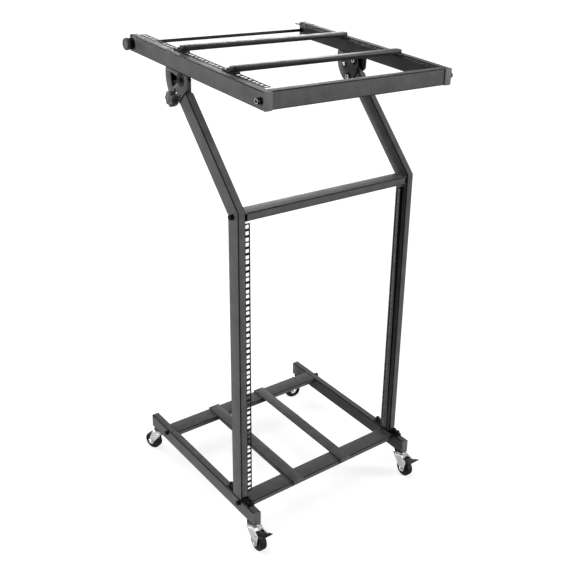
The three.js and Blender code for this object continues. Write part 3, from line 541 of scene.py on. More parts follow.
def folded_channel(low, high):
    """Section of a sheet folded down on both long sides: the outer outline with its round folds and
    a hem along each lower edge, then the inner outline back."""
    fold, thick = SHEET["fold"], SHEET["thick"]
    arc = np.linspace(0, np.pi / 2, 5)
    proud, tall = HEM["proud"], HEM["tall"]
    rear = [[high[1], low[2] + tall], [high[1] + proud, low[2] + tall - proud],
            [high[1] + proud, low[2] + proud], [high[1], low[2]]]
    over = np.column_stack([high[1] - fold + fold * np.cos(arc), high[2] - fold + fold * np.sin(arc)])
    under = np.column_stack([high[1] - fold + (fold - thick) * np.cos(arc),
                             high[2] - fold + (fold - thick) * np.sin(arc)])
    half = np.array([*under[::-1], [high[1] - thick, low[2]], *rear[::-1], *over])
    middle = low[1] + high[1]
    mirrored = np.column_stack([middle - half[:, 0], half[:, 1]])[::-1]
    return np.concatenate([half, mirrored])


def end_walls(low, high, wall_low, wall_high, sunk):
    """The sheet that closes a crossbar's two ends: bars along X between the inner corners given."""
    walls = []
    for end, inward in ((low[0], 1), (high[0], -1)):
        near, far = wall_low.copy(), wall_high.copy()
        near[0], far[0] = sorted((end + inward * sunk, end + inward * SHEET["end_wall"]))
        walls.append(bar(near, far, "x", SHEET["corner"], SHEET["edge"]))
    return walls


def base_crossbars():
    """Folded channels, open below, with a wall at each end."""
    for name in ("front", "rear"):
        node = f"{name}_base_crossbar"
        low, high = extent(node)
        shells = [skin(stations(folded_channel(low, high), [low[0], high[0]], "x"))]
        wall_low, wall_high = low + SHEET["thick"], high - SHEET["thick"]
        wall_low[2] = low[2]
        shells += end_walls(low, high, wall_low, wall_high, SUNK)
        piece(f"{name}_base_crossbar_sheet", shells, GROUND, "base", POWDER_COAT, [node])


# A strap's lips hang down in front of and behind the crossbars, and its flange between them
STRAP = {"thick": 3.0, "front_lip": 13.0, "rear_lip": 6.0, "bend": 1.4, "edge": 0.5}
STRAP_FLANGE = {"tall": 12.0, "below": 0.2, "corner": 0.6, "edge": 0.4}


def shelf_straps():
    """Flat bars hooked over both crossbars, each with a flange turned down along its outer side."""
    for name, side in SIDES:
        node = f"{name}_shelf_strap"
        low, high = extent(node)
        thick, top = STRAP["thick"], high[2]
        front_tip, rear_tip = top - STRAP["front_lip"], top - STRAP["rear_lip"]
        hook = [[low[1], front_tip], [low[1] + thick, front_tip], [low[1] + thick, top - thick],
                [high[1] - thick, top - thick], [high[1] - thick, rear_tip], [high[1], rear_tip],
                [high[1], top], [low[1], top]]
        flat = plate(softened(hook, STRAP["bend"]), [], (low[0], high[0]), "x", STRAP["edge"])
        edge = low[0] if side < 0 else high[0]
        inside = edge - side * thick
        behind_front, before_rear = extent("front_base_crossbar")[1][1], extent("rear_base_crossbar")[0][1]
        flange_low = np.array([min(edge, inside), behind_front + GAP, top - STRAP_FLANGE["tall"]])
        flange_high = np.array([max(edge, inside), before_rear - GAP, top - STRAP_FLANGE["below"]])
        flange = bar(flange_low, flange_high, "y", STRAP_FLANGE["corner"], STRAP_FLANGE["edge"])
        piece(f"{name}_shelf_strap_bar", [flat, flange], GROUND, f"{name}_shelf_strap", POWDER_COAT, [node])


# The bolts that clamp the base's and the middle crossbar
CLAMP_BOLT = {"head_long": 9.0, "washer": 7.4, "head": 6.5, "socket": 3.0, "socket_deep": 5.0, "shank": 3.0}
CLAMP_NUT = {"radius": 5.2, "thick": 4.5}


def clamp_bolts():
    """Socket bolts along X: a washer and a cap head outside, the shank, and a nut inside."""
    names = [f"{row}_{name}_crossbar_bolt" for row in ("front", "rear") for name, _ in SIDES]
    names += [f"{name}_mid_bar_bolt" for name, _ in SIDES]
    for node in names:
        side = -1 if "left" in node else 1
        low, high = extent(node)
        centre = middle_line(low, high)
        outer, inner = outer_and_inner(low, high, side)
        shells = cap_bolt(CLAMP_BOLT, outer, inner, side, centre)
        shells.append(hex_head(CLAMP_NUT["radius"], inner + side * CLAMP_NUT["thick"], inner, centre, "x"))
        piece(f"{node}_set", shells, GROUND, "base", BLACK_OXIDE, [node])


# Inset is the first bolt's place from the plate's end, and pitch the way to the next one
FOOT = {"thick": 6.0, "corner": 1.6, "inset": 7.0, "pitch": 14.0}
FOOT_BOLT = {"head": 6.5, "sunk": 0.1, "socket": 3.0, "socket_deep": 5.0, "shank": 3.0}


def post_feet():
    """Foot plates, each under four cap-headed bolts, two before its post and two behind."""
    for name, _ in SIDES:
        node = f"{name}_post_foot"
        low, high = extent(node)
        top = extent(f"{name}_post")[0][2] - GAP
        plate_low = np.array([low[0], low[1], top - FOOT["thick"]])
        plate_high = np.array([high[0], high[1], top])
        shells = [bar(plate_low, plate_high, "z", FOOT["corner"])]
        middle = (low[0] + high[0]) / 2
        front, rear = low[1] + FOOT["inset"], high[1] - FOOT["inset"]
        for y in (front, front + FOOT["pitch"], rear - FOOT["pitch"], rear):
            centre = [middle, y, 0]
            shells.append(socket_head(FOOT_BOLT["head"], top - FOOT_BOLT["sunk"], high[2], centre, "z",
                                      FOOT_BOLT["socket"], FOOT_BOLT["socket_deep"]))
            shells.append(rounded_rod(FOOT_BOLT["shank"], low[2], top, centre, "z"))
        piece(f"{name}_post_foot_plate", shells, GROUND, "base", BLACK_OXIDE, [node])


# Uprights
POST_DEEP = 43.0
# Angle in degrees over which an edge of the posts is shaded sharp
POST_SHARP = 25


def bent_post(name):
    """The post's section carried over three places: the foot, the mitre of the bend and the square
    end of the arm. The mitre lies on the plane that halves the lean."""
    low, high = extent(f"{name}_post")
    half = POST_DEEP / 2
    lean_y, lean_z = math.sin(ARM_LEAN), math.cos(ARM_LEAN)
    middle = low[1] + half
    end = np.array([high[1] - half * lean_z, high[2] - half * lean_y])
    bend = end[1] - (end[0] - middle) * lean_z / lean_y

    def carried_over(section):
        x, depth = section.T
        foot = np.column_stack([x, middle + depth, np.full(len(x), low[2])])
        mitre = np.column_stack([x, middle + depth, bend - depth * math.tan(ARM_LEAN / 2)])
        tip = np.column_stack([x, end[0] + depth * lean_z, end[1] - depth * lean_y])
        return [foot, mitre, tip]

    wall, corner = TUBE["wall"], TUBE["corner"]
    outer = carried_over(rounded((low[0], -half), (high[0], half), corner))
    bore = carried_over(rounded((low[0] + wall, wall - half), (high[0] - wall, half - wall), corner - wall))
    return skin(outer + bore[::-1], True)


def posts():
    """The two bent tubes. Their edges are shaded sharp from a smaller angle than the other pieces'."""
    for name, _ in SIDES:
        piece(f"{name}_post_tube", [bent_post(name)], GROUND, "base", POWDER_COAT, [f"{name}_post"],
              sharp=POST_SHARP)


# Rack hole pattern: two wide pitches and a narrow one make one rack unit of three holes
RACK = {"column": 232.55, "hole": 9.5, "hole_corner": 0.9, "margin": 8.0, "wide": 15.875, "narrow": 12.7}
MOST_UNITS = 40
# The photo's holes stand open at its flat angle on the top strips, so those are drawn thinner
STRIP = {"post_thick": 2.0, "top_thick": 1.1, "corner": 0.8, "edge": 0.25, "end_slack": 0.2}


def hole_row(start, end):
    """Places of the rack holes between a strip's two ends: two wide pitches and a narrow one."""
    pitches = np.tile([RACK["wide"], RACK["wide"], RACK["narrow"]], MOST_UNITS)
    places = start + RACK["margin"] + np.concatenate([[0], np.cumsum(pitches)])
    return places[places + RACK["margin"] <= end + STRIP["end_slack"]]


def rack_strip(node, place, along, side, thick):
    """A perforated strip: x across it, the holes in a row along its length."""
    low, high = extent(node, place)
    outline = rounded((low[0], low[along]), (high[0], high[along]), STRIP["corner"], 3)
    half = RACK["hole"] / 2
    x = side * RACK["column"]
    holes = [rounded((x - half, y - half), (x + half, y + half), RACK["hole_corner"], 3)
             for y in hole_row(low[along], high[along])]
    across = 3 - along
    ends = (high[across] - thick, high[across])
    return plate(outline, holes, ends, "y" if along == 2 else "z", STRIP["edge"])


def post_strips():
    """The strips up the posts, with their holes in a row along Z."""
    for name, side in SIDES:
        node = f"{name}_post_strip"
        strip = rack_strip(node, GROUND, 2, side, STRIP["post_thick"])
        # The strips' darker coat is painted shade
        piece(f"{name}_post_strip_bar", [strip], GROUND, "base", SHADED_STRIP_COAT, [node])


# The notch at each end is as wide as given along the bar, and twice its half tall
MID_BAR = {"notch_wide": 6.0, "notch_half": 8.0, "bend": 0.6, "wall_back": 14.0, "wall_sunk": 0.1}


def mid_crossbar():
    """A box section whose front wall is left open in a notch at each end."""
    low, high = extent("mid_crossbar")
    wall, notch = TUBE["wall"], [MID_BAR["notch_wide"], 0, 0]
    body_low, body_high = low + notch, high - notch
    shells = [tube(body_low, body_high, "x")]
    middle = (low[2] + high[2]) / 2
    under, over = middle - MID_BAR["notch_half"], middle + MID_BAR["notch_half"]
    in_low, in_high = low + wall, high - wall
    outline = [[low[1], under], [low[1], low[2]], [high[1], low[2]], [high[1], high[2]], [low[1], high[2]],
               [low[1], over], [in_low[1], over], [in_low[1], in_high[2]], [in_high[1], in_high[2]],
               [in_high[1], in_low[2]], [in_low[1], in_low[2]], [in_low[1], under]]
    for start, end in ((low[0], body_low[0]), (body_high[0], high[0])):
        shells.append(plate(softened(outline, MID_BAR["bend"], 2), [], (start, end), "x", SHEET["edge"]))
    wall_low = in_low + [0, MID_BAR["wall_back"], 0]
    shells += end_walls(low, high, wall_low, in_high, MID_BAR["wall_sunk"])
    piece("mid_crossbar_box", shells, GROUND, "base", POWDER_COAT, ["mid_crossbar"])


# Casters. In a caster's own place its swivel is the Z axis and its wheel trails along Y.
FORK = {"eye": 9.0, "bend": 1.5, "below_deck": 1.2, "inside": 12.0, "outside": 14.0, "edge": 0.5,
        "axle_hole": 4.4, "pin": 2.5, "pin_edge": 0.4, "round_pin": 6.0, "over_pin": 3.0}
# The deck's profile, down from its top
CROWN = [(15.5, 3), (18.2, 3), (19, 2.2), (18.8, 1.2), (17.6, 0.4), (15.5, 0)]
# The fold between deck and leg: its section, as distance from the middle and height over a line
# that lies below the deck's top
FOLD = {"section": [(10.5, 1.0), (13.9, 0.2), (13.9, -2.6), (12.2, -2.6), (10.5, -0.6)],
        "below_deck": 1.4, "front": -8.6, "rear": 12.0, "corner": 0.6}
STEM = {"plate_top": 6.0, "radius": 5.0, "sunk": 1.5, "nut": 8.0, "nut_low": 2.1, "nut_high": 8.1}
# The top plate's profile, down from its top, and the ball race's, up from its foot
TOP_PLATE = [(16.5, 3), (17.7, 2.8), (18, 2.2), (18, 0.6), (17.4, 0)]
BALL_RACE = [(9, 0), (13.4, 0), (14.6, 0.7), (15, 1.8), (15, 4)]
# One half of the wheel's profile: hub, dish, shoulder and tread
WHEEL_HALF = [(4.3, 11.7), (8.0, 11.7), (8.8, 11.2), (9.2, 7.8), (10.4, 7.1), (15.8, 7.0), (17.2, 7.6),
              (18.2, 9.4), (19.2, 9.9), (21.4, 10.0), (23.2, 9.4), (24.4, 8.1), (24.95, 6.2), (25, 4.6),
              (25, 0.8), (24.5, 0.35)]
AXLE = {"radius": 4.0, "sunk": 3.0, "nut": 6.5, "nut_near": 3.5, "nut_far": 0.4}
# The axle head's profile, in from its end
AXLE_HEAD = [(6.5, 3.4), (6.5, 2.4), (6.0, 1.2), (4.8, 0.4), (3.0, 0)]
PEDAL = {"thick": 2.6, "reach": 33.0, "rise": 13.0, "over_pin": 2.15, "barrel": 4.3, "half": 11.4,
         "edge": 0.6, "neck_bend": 0.8, "toe_bend": 1.0, "toe_edge": 0.8}
PEDAL_RIBS = {"radius": 0.7, "edge": 0.2, "inset": 3.0, "shares": (0.45, 0.65, 0.85)}


def fork_leg(braked, top, axle, pin):
    """One leg: straight down from the deck, round the axle, and on a braked fork out to the pin."""
    eye = FORK["eye"]
    bottom = axle + eye * unit(np.linspace(np.pi, 2 * np.pi, 13))
    points = [[-eye, top], [-eye, top - eye], *bottom]
    if braked:
        past = pin[0] + FORK["round_pin"]
        points += [[past, pin[1] - FORK["round_pin"]], [past, pin[1] + FORK["over_pin"]]]
    points.append([2 * eye, top])
    return softened(points, FORK["bend"], 3)


def caster_fork(corner, place, braked):
    """The pressed fork: a turned deck, a plate for each leg with a fold over it, and on a braked
    fork the pedal's pin."""
    node = f"{corner}_caster_fork"
    low, high = extent(node, place)
    axle = joint_spot(f"{corner}_wheel_roll", place)[1:]
    pin = joint_spot(f"{corner}_pedal_press", place)[1:] if braked else None
    deck = high[2]
    shells = [turned(placed(CROWN, deck, -1), [0, 0, 0], "z", 48)]
    leg = fork_leg(braked, deck - FORK["below_deck"], axle, pin)
    hole = circle(FORK["axle_hole"], axle, 24)
    for side in (-1, 1):
        shells.append(plate(leg, [hole], (side * FORK["inside"], side * FORK["outside"]), "x", FORK["edge"]))
        fold = np.array(FOLD["section"]) * [side, 1] + [0, deck - FOLD["below_deck"]]
        shells.append(skin(stations(softened(fold, FOLD["corner"], 3), [FOLD["front"], FOLD["rear"]], "y")))
    if braked:
        shells.append(rounded_rod(FORK["pin"], low[0], high[0], [0, *pin], "x", FORK["pin_edge"], 24))
    piece(f"{corner}_fork_pressing", shells, place, f"{corner}_caster", ZINC_PLATE, [node])


def caster_stem(corner, place):
    """What stays with the runner: top plate and ball race as turned profiles, the stem and its nut."""
    node = f"{corner}_caster_stem"
    low, high = extent(node, place)
    top = low[2] + STEM["plate_top"]
    shells = [turned(placed(TOP_PLATE, top, -1), [0, 0, 0], "z", 48),
              turned(placed(BALL_RACE, low[2]), [0, 0, 0], "z", 48),
              rounded_rod(STEM["radius"], top - STEM["sunk"], high[2], [0, 0, 0], "z"),
              hex_head(STEM["nut"], top + STEM["nut_low"], top + STEM["nut_high"], [0, 0, 0], "z")]
    piece(f"{corner}_stem_and_race", shells, place, "base", ZINC_PLATE, [node])


def caster_wheel(corner, place):
    """Tyre and hub as one turned profile: tread, shoulders, dished sides and the hub round its bore."""
    node = f"{corner}_caster_wheel"
    axle = joint_spot(f"{corner}_wheel_roll", place)[1:]
    profile = WHEEL_HALF + [(radius, -offset) for radius, offset in reversed(WHEEL_HALF)]
    shells = [turned(profile, [0, *axle], "x", 72, True)]
    piece(f"{corner}_tyre_and_hub", shells, place, f"{corner}_wheel", HARD_RUBBER, [node])


def caster_axle(corner, place):
    """A round head as a turned profile, the shank through the wheel, and a nut at the far side."""
    node = f"{corner}_caster_axle"
    low, high = extent(node, place)
    centre = middle_line(low, high)
    shells = [turned(placed(AXLE_HEAD, low[0]), centre, "x", 40),
              rounded_rod(AXLE["radius"], low[0] + AXLE["sunk"], high[0], centre, "x"),
              hex_head(AXLE["nut"], high[0] - AXLE["nut_near"], high[0] - AXLE["nut_far"], centre, "x")]
    piece(f"{corner}_axle_bolt", shells, place, f"{corner}_caster", ZINC_PLATE, [node])


def brake_pedal(corner, place):
    """A barrel on the fork's pin, a neck, a broad toe plate that rises ahead, and three grip ribs
    at shares of its length."""
    node = f"{corner}_brake_pedal"
    low, high = extent(node, place)
    y, z = joint_spot(f"{corner}_pedal_press", place)[1:]
    thick, reach, rise, half = (PEDAL[size] for size in ("thick", "reach", "rise", "half"))
    base = z + PEDAL["over_pin"]
    neck = [[y, base], [y + reach / 2, base + rise / 4], [y + reach / 2, base + rise / 4 + thick],
            [y, base + thick]]
    start, below = y + reach / 2 - thick, base + rise / 8
    toe = [[start, below], [y + reach, z + rise], [y + reach, z + rise + thick], [start, below + thick]]
    shells = [rounded_rod(PEDAL["barrel"], -half, half, [0, y, z], "x", PEDAL["edge"], 32),
              plate(softened(neck, PEDAL["neck_bend"]), [], (-half, half), "x", PEDAL["edge"]),
              plate(softened(toe, PEDAL["toe_bend"]), [], (low[0], high[0]), "x", PEDAL["toe_edge"])]
    slope = (z + rise - below) / (y + reach - start)
    left, right = low[0] + PEDAL_RIBS["inset"], high[0] - PEDAL_RIBS["inset"]
    for share in PEDAL_RIBS["shares"]:
        at = start + (y + reach - start) * share
        top = below + slope * (at - start) + thick
        rib = rounded_rod(PEDAL_RIBS["radius"], left, right, [0, at, top], "x", PEDAL_RIBS["edge"], 16)
        shells.append(rib)
    piece(f"{corner}_pedal_moulding", shells, place, f"{corner}_pedal", PEDAL_NYLON, [node])


def casters():
    """The four casters, each in its own place. The front two carry a pedal."""
    for corner in CORNERS:
        place = CASTER[corner]
        braked = corner.startswith("front")
        caster_fork(corner, place, braked)
        caster_stem(corner, place)
        caster_wheel(corner, place)
        caster_axle(corner, place)
        if braked:
            brake_pedal(corner, place)


# Tilt knuckles. Radii are counted from the pivot, and angles from straight down to the rear.
# Line is how far from the pivot the plates' edge over the arm's end lies. Front and inner front are
# how far the outer and the inner plate reach ahead of the pivot.
KNUCKLE = {"thick": 3.0, "radius": 72.0, "front": 28.0, "inner_front": 13.0, "line": 31.5,
           "bolt": 4.0, "clear": 0.3, "edge": 0.4, "web_clear": 0.5, "web_sunk": 0.1, "web_corner": 1.0,
           "web_edge": 0.3}
RIM = {"inner": 68.0, "outer": 71.4, "start": math.radians(50), "end": math.radians(98)}
WINDOW = {"inner": 16.0, "outer": 47.0, "start": math.radians(55), "end": math.radians(100), "corner": 1.5}
LOCK = {"circle": 52.0, "angle": math.radians(23), "sweep": math.radians(41.75)}
INDEX_PIN = {"circle": 44.0, "angle": math.radians(66)}
WEB_HOLE = {"radius": 3.5, "circle": 41.0, "angle": math.radians(42)}
# Rim is how much metal lies outside the lock bolt's circle. The sector and the neck stay that far
# inside the eye's two ends.
TONGUE = {"eye": 10.0, "rim": 9.0, "past_arm": 35.0, "off_centre": 25.5, "tenon": 45.0, "half": 19.7,
          "slot_clear": 0.6, "bend": 1.5, "edge": 0.5, "sector_in": 0.1, "neck_in": 0.2}
TONGUE_SECTOR = (math.radians(11.5), math.radians(76))
PIVOT_BOLT = {"head": 6.5, "head_long": 5.0, "socket": 3.0, "socket_deep": 3.5, "shank": 4.0}
KNUCKLE_NUT = {"radius": 6.5, "thick": 5.0}
# The pin's domed head, out from the plate
INDEX_HEAD = [(5.0, 0), (5.0, 1.4), (3.8, 2.6), (1.9, 3.1)]
# Friction rings: how far from the pivot bolt's ends they lie, their radii and their thickness
RINGS = {"from_end": 5.35, "outer": (6.9, 15.5), "outer_thick": 1.8, "bolt": (7.0, 11.5),
         "pin": (5.4, 9.5), "thick": 1.4}
LOCK_RING = {"radii": (9.4, 12.6), "from_end": 25.25, "thick": 1.6}
# The grip's back edge is rounded less deep than its front one, and its lobes swell less towards
# its face, whose middle lies a little sunk
GRIP = {"lobes": 7, "steps": 16, "radius": 16.8, "thick": 16.0, "edge": 3.2, "back": 0.4, "start": 5.5,
        "swell": 2.2, "fall": 0.6, "face_in": 9.0, "face_at": 15.4, "face_swell": 0.2}
# The lock knob's hub and cap, out from its inner end
KNOB_HUB = [(8.2, 0), (9.0, 0.8), (8.6, 5.8)]
KNOB_CAP = [(6.8, 20.6), (6.6, 21.4), (5.2, 21.9)]


def polar(radius, angle):
    """Points at a radius from the pivot: the sine to the rear, the cosine down."""
    return np.stack([radius * np.sin(angle), -radius * np.cos(angle)], -1)


def sweep_of(radius, start, end, steps=24):
    """Points of an arc round the pivot."""
    return polar(radius, np.linspace(start, end, steps + 1))


def arc_band(sizes):
    """A band between two arcs round the pivot: the outer one out and the inner one back."""
    return np.concatenate([sweep_of(sizes["outer"], sizes["start"], sizes["end"]),
                           sweep_of(sizes["inner"], sizes["end"], sizes["start"])])


def arc_slot(ring, half, start, end):
    """A curved slot round the pivot: its outer edge, a half circle, its inner edge, a half circle."""
    def round_end(angle, turn):
        outward, onward = polar(1, angle), unit(angle)
        return polar(ring, angle) + half * (np.outer(np.cos(turn), outward) + np.outer(np.sin(turn), onward))

    turn = np.linspace(0, np.pi, 11)[1:-1]
    return np.concatenate([sweep_of(ring + half, start, end), round_end(end, turn),
                           sweep_of(ring - half, end, start), round_end(start, turn + np.pi)])


def bracket_outline(top, front):
    """The side plate: its straight top under the rail, the front edge, the edge over the arm's end
    and the round rim."""
    rim_start = math.acos(KNUCKLE["line"] / KNUCKLE["radius"]) - ARM_LEAN
    rim_end = math.pi / 2 + math.asin(top / KNUCKLE["radius"])
    front_low = (front * math.sin(ARM_LEAN) - KNUCKLE["line"]) / math.cos(ARM_LEAN)
    rim = sweep_of(KNUCKLE["radius"], rim_start, rim_end)
    return np.concatenate([[[-front, top], [-front, front_low]], rim])


def tilt_brackets():
    """Under each rail an outer and an inner plate on a flat web, with a curved band along the rim.
    The web ends where a circle of the rim's radius meets the plates' straight top."""
    for name, side in SIDES:
        node = f"{name}_tilt_bracket"
        low, high = extent(node, TOP)
        top, thick, edge = high[2], KNUCKLE["thick"], KNUCKLE["edge"]
        bolt = KNUCKLE["bolt"] + KNUCKLE["clear"]
        lock = circle(bolt, polar(LOCK["circle"], LOCK["angle"]), 28)
        pivot = circle(bolt, (0, 0), 28)
        window = softened(arc_band(WINDOW), WINDOW["corner"], 2)
        web_hole = circle(WEB_HOLE["radius"], polar(WEB_HOLE["circle"], WEB_HOLE["angle"]), 24)
        outer, inner = outer_and_inner(low, high, side)
        shells = [plate(bracket_outline(top, KNUCKLE["front"]), [lock, pivot, window, web_hole],
                        (outer, outer - side * thick), "x", edge),
                  plate(bracket_outline(top, KNUCKLE["inner_front"]), [lock, pivot],
                        (inner, inner + side * thick), "x", edge)]
        left, right = low[0] + thick / 2, high[0] - thick / 2
        rear = math.sqrt(KNUCKLE["radius"] ** 2 - top ** 2) - KNUCKLE["web_clear"]
        web_low = np.array([left, low[1], top - thick])
        web_high = np.array([right, rear, top - KNUCKLE["web_sunk"]])
        shells.append(bar(web_low, web_high, "z", KNUCKLE["web_corner"], KNUCKLE["web_edge"]))
        shells.append(plate(arc_band(RIM), [], (left, right), "x", KNUCKLE["web_edge"]))
        piece(f"{name}_bracket_pressing", shells, TOP, "top_frame", POWDER_COAT, [node])


def arm_tongues():
    """In each arm's end a flat sector with the lock bolt's curved slot, a neck that widens into the
    tube's tenon, and an eye round the pivot. The neck is drawn along the arm, then leaned with it."""
    for name, _ in SIDES:
        node = f"{name}_arm_tongue"
        low, high = extent(node, ARM_TOP)
        lean = np.array([[-math.sin(ARM_LEAN), -math.cos(ARM_LEAN)],
                         [math.cos(ARM_LEAN), -math.sin(ARM_LEAN)]])
        near, far = TONGUE["off_centre"] - TONGUE["half"], TONGUE["off_centre"] + TONGUE["half"]
        eye, end = TONGUE["eye"], TONGUE["past_arm"]
        tip = end + TONGUE["tenon"]
        neck = np.array([[0, eye], [0, -eye], [end, near], [tip, near], [tip, far], [end, far]]) @ lean
        slot = arc_slot(LOCK["circle"], KNUCKLE["bolt"] + TONGUE["slot_clear"],
                        LOCK["angle"], LOCK["angle"] + LOCK["sweep"])
        sector = np.concatenate([[[0, 0]], sweep_of(LOCK["circle"] + TONGUE["rim"], *TONGUE_SECTOR)])
        ends = np.array([low[0], high[0]])
        inward, edge = np.array([1, -1]), TONGUE["edge"]
        shells = [plate(sector, [slot], ends + inward * TONGUE["sector_in"], "x", edge),
                  plate(softened(neck, TONGUE["bend"], 3), [], ends + inward * TONGUE["neck_in"], "x", edge),
                  rounded_rod(eye, low[0], high[0], [0, 0, 0], "x", edge, 40)]
        # The black oxide finish on the tongue is painted shade, for the shade inside the knuckle
        piece(f"{name}_tongue_painted_shade_casting", shells, ARM_TOP, "base", BLACK_OXIDE, [node])


def pivot_bolt(name, side):
    """The bolt that a knuckle turns on, its nut and the index pin's head beside it, and the flat
    friction rings round them."""
    node = f"{name}_pivot_bolt"
    low, high = extent(node, TOP)
    outer, inner = outer_and_inner(low, high, side)
    pivot, foot = [0, 0, 0], outer - side * PIVOT_BOLT["head_long"]
    shells = [socket_head(PIVOT_BOLT["head"], foot, outer, pivot, "x",
                          PIVOT_BOLT["socket"], PIVOT_BOLT["socket_deep"]),
              rounded_rod(PIVOT_BOLT["shank"], foot, inner, pivot, "x")]
    piece(f"{name}_pivot_bolt_set", shells, TOP, "top_frame", BLACK_OXIDE, [node])
    pin = [0, *polar(INDEX_PIN["circle"], INDEX_PIN["angle"])]
    lock = [0, *polar(LOCK["circle"], LOCK["angle"])]
    seat, bed = outer - side * RINGS["from_end"], inner + side * RINGS["from_end"]
    rings = [flat_ring(*RINGS["outer"], seat, seat + side * RINGS["outer_thick"], pivot)]
    for centre, kind in ((pivot, "bolt"), (lock, "bolt"), (pin, "pin")):
        rings.append(flat_ring(*RINGS[kind], bed, bed - side * RINGS["thick"], centre))
    piece(f"{name}_knuckle_friction_rings", rings, TOP, "top_frame", BLACK_NYLON)
    shells = [hex_head(KNUCKLE_NUT["radius"], inner + side * KNUCKLE_NUT["thick"], inner, pivot, "x"),
              turned(placed(INDEX_HEAD, bed, -side), pin, "x", 32)]
    piece(f"{name}_pivot_nut_and_index_pin", shells, TOP, "top_frame", ZINC_PLATE)


def lock_bolt(name, side):
    """The bolt in a knuckle's curved slot, its nut, and a flat ring under the knob."""
    node = f"{name}_lock_bolt"
    low, high = extent(node, TOP)
    outer, inner = outer_and_inner(low, high, side)
    centre = [0, *polar(LOCK["circle"], LOCK["angle"])]
    seat = inner + side * LOCK_RING["from_end"]
    shells = [rounded_rod(KNUCKLE["bolt"], inner, outer, centre, "x"),
              hex_head(KNUCKLE_NUT["radius"], inner + side * KNUCKLE_NUT["thick"], inner, centre, "x"),
              flat_ring(*LOCK_RING["radii"], seat, seat + side * LOCK_RING["thick"], centre)]
    piece(f"{name}_lock_bolt_set", shells, TOP, "top_frame", ZINC_PLATE, [node])


def knuckle_bolts():
    """The pivot and lock bolts of both knuckles."""
    for name, side in SIDES:
        pivot_bolt(name, side)
        lock_bolt(name, side)


def star_grip(side, start, centre):
    """A lobed grip: the radius swells as a cosine round it, less towards its face, and its rim is
    rounded on a quarter circle."""
    angle = np.linspace(0, 2 * np.pi, GRIP["lobes"] * GRIP["steps"], endpoint=False)
    turn = np.linspace(0, np.pi / 2, 6)
    onward, aside = np.sin(turn), 1 - np.cos(turn)
    edge, front = GRIP["edge"], GRIP["thick"] - GRIP["edge"]
    drawn_in = np.concatenate([edge * (1 - onward), edge * aside[1:], [GRIP["face_in"]]])
    offset = np.concatenate([GRIP["back"] * edge * aside, front + edge * onward[1:], [GRIP["face_at"]]])
    full = np.full(len(turn), GRIP["swell"])
    swell = np.concatenate([full, GRIP["swell"] * (1 - GRIP["fall"] * aside[1:]), [GRIP["face_swell"]]])
    radius = GRIP["radius"] - drawn_in[:, None] + swell[:, None] * np.cos(GRIP["lobes"] * angle)
    profiles = radius[..., None] * unit(angle)
    return skin(stations(profiles, start + side * offset, "x") + np.array([0, *centre]))


def lock_knobs():
    """The lobed knobs on the lock bolts: a turned hub, the grip and a turned cap."""
    for name, side in SIDES:
        node = f"{name}_lock_knob"
        low, high = extent(node, TOP)
        _, inner = outer_and_inner(low, high, side)
        centre = polar(LOCK["circle"], LOCK["angle"])
        shells = [turned(placed(KNOB_HUB, inner, side), [0, *centre], "x", 48),
                  star_grip(side, inner + side * GRIP["start"], centre),
                  turned(placed(KNOB_CAP, inner, side), [0, *centre], "x", 40)]
        piece(f"{name}_lock_star_knob", shells, TOP, f"{name}_lock_knob", MOULDED_NYLON, [node])


# Top frame
TOP_BOLT = {"head_long": 11.5, "washer": 8.4, "head": 7.0, "socket": 3.4, "socket_deep": 6.0, "shank": 4.0}
# A ring of bright zinc on the head's face round its socket, a painted highlight: radii, and how far the ring
# is let in and stands out
HIGHLIGHT_RING = {"radii": (4.1, 6.0), "sunk": 0.45, "proud": 0.15}
TIE_ROD = {"radius": 4.0, "nut": 7.0, "nut_thick": 5.0, "nut_at": 245.7}
# The tie knob's sleeve, out from its inner end
SLEEVE = [(13.2, 0), (14.0, 0.8), (14.0, 9.4), (13.0, 10.4), (11.0, 10.8), (11.0, 12.0)]
# Its disc, each ring as radius, height of the ripples and offset
DISC = [(13.2, 0, 11.2), (14.5, 0.35, 12.0), (14.6, 0.4, 18.0), (14.1, 0.25, 19.1), (13.1, 0.1, 19.7),
        (11.4, 0, 20.0), (10.8, 0, 19.2)]
RIPPLES = {"count": 24, "steps": 6}
SUPPORT = {"half": 12.5, "over_shoe": 4.5, "edge": 1.2}
SHOE = {"at": 235.65, "half": 9.75, "front": 12.0, "rear": 33.0, "corner": 1.5, "edge": 0.4}
SHOE_SLOT = {"half": 3.0, "front": 13.0, "rear": 27.0, "corner": 2.9}
# The clamp screw's pan head, up from the shoe's top, and how far behind the bar's middle it sits
PAN_HEAD = [(5.0, 0), (5.2, 0.8), (4.4, 2.2), (2.6, 2.9)]
PAN_BEHIND = 20.0


def top_rails():
    """The two rails that the rest of the top frame hangs on."""
    for name, _ in SIDES:
        capped_tube(f"{name}_top_rail", TOP, "top_frame")


def top_strips():
    """The strips along the rails, with their holes in a row along Y."""
    for name, side in SIDES:
        node = f"{name}_top_strip"
        strip = rack_strip(node, TOP, 1, side, STRIP["top_thick"])
        # The strips' darker coat is painted shade
        piece(f"{name}_top_strip_bar", [strip], TOP, "top_frame", SHADED_STRIP_COAT, [node])


def top_front_bar():
    """The tube along X between the rails' front ends."""
    low, high = extent("top_front_bar", TOP)
    piece("top_front_bar_tube", [tube(low, high, "x")], TOP, "top_frame", POWDER_COAT, ["top_front_bar"])


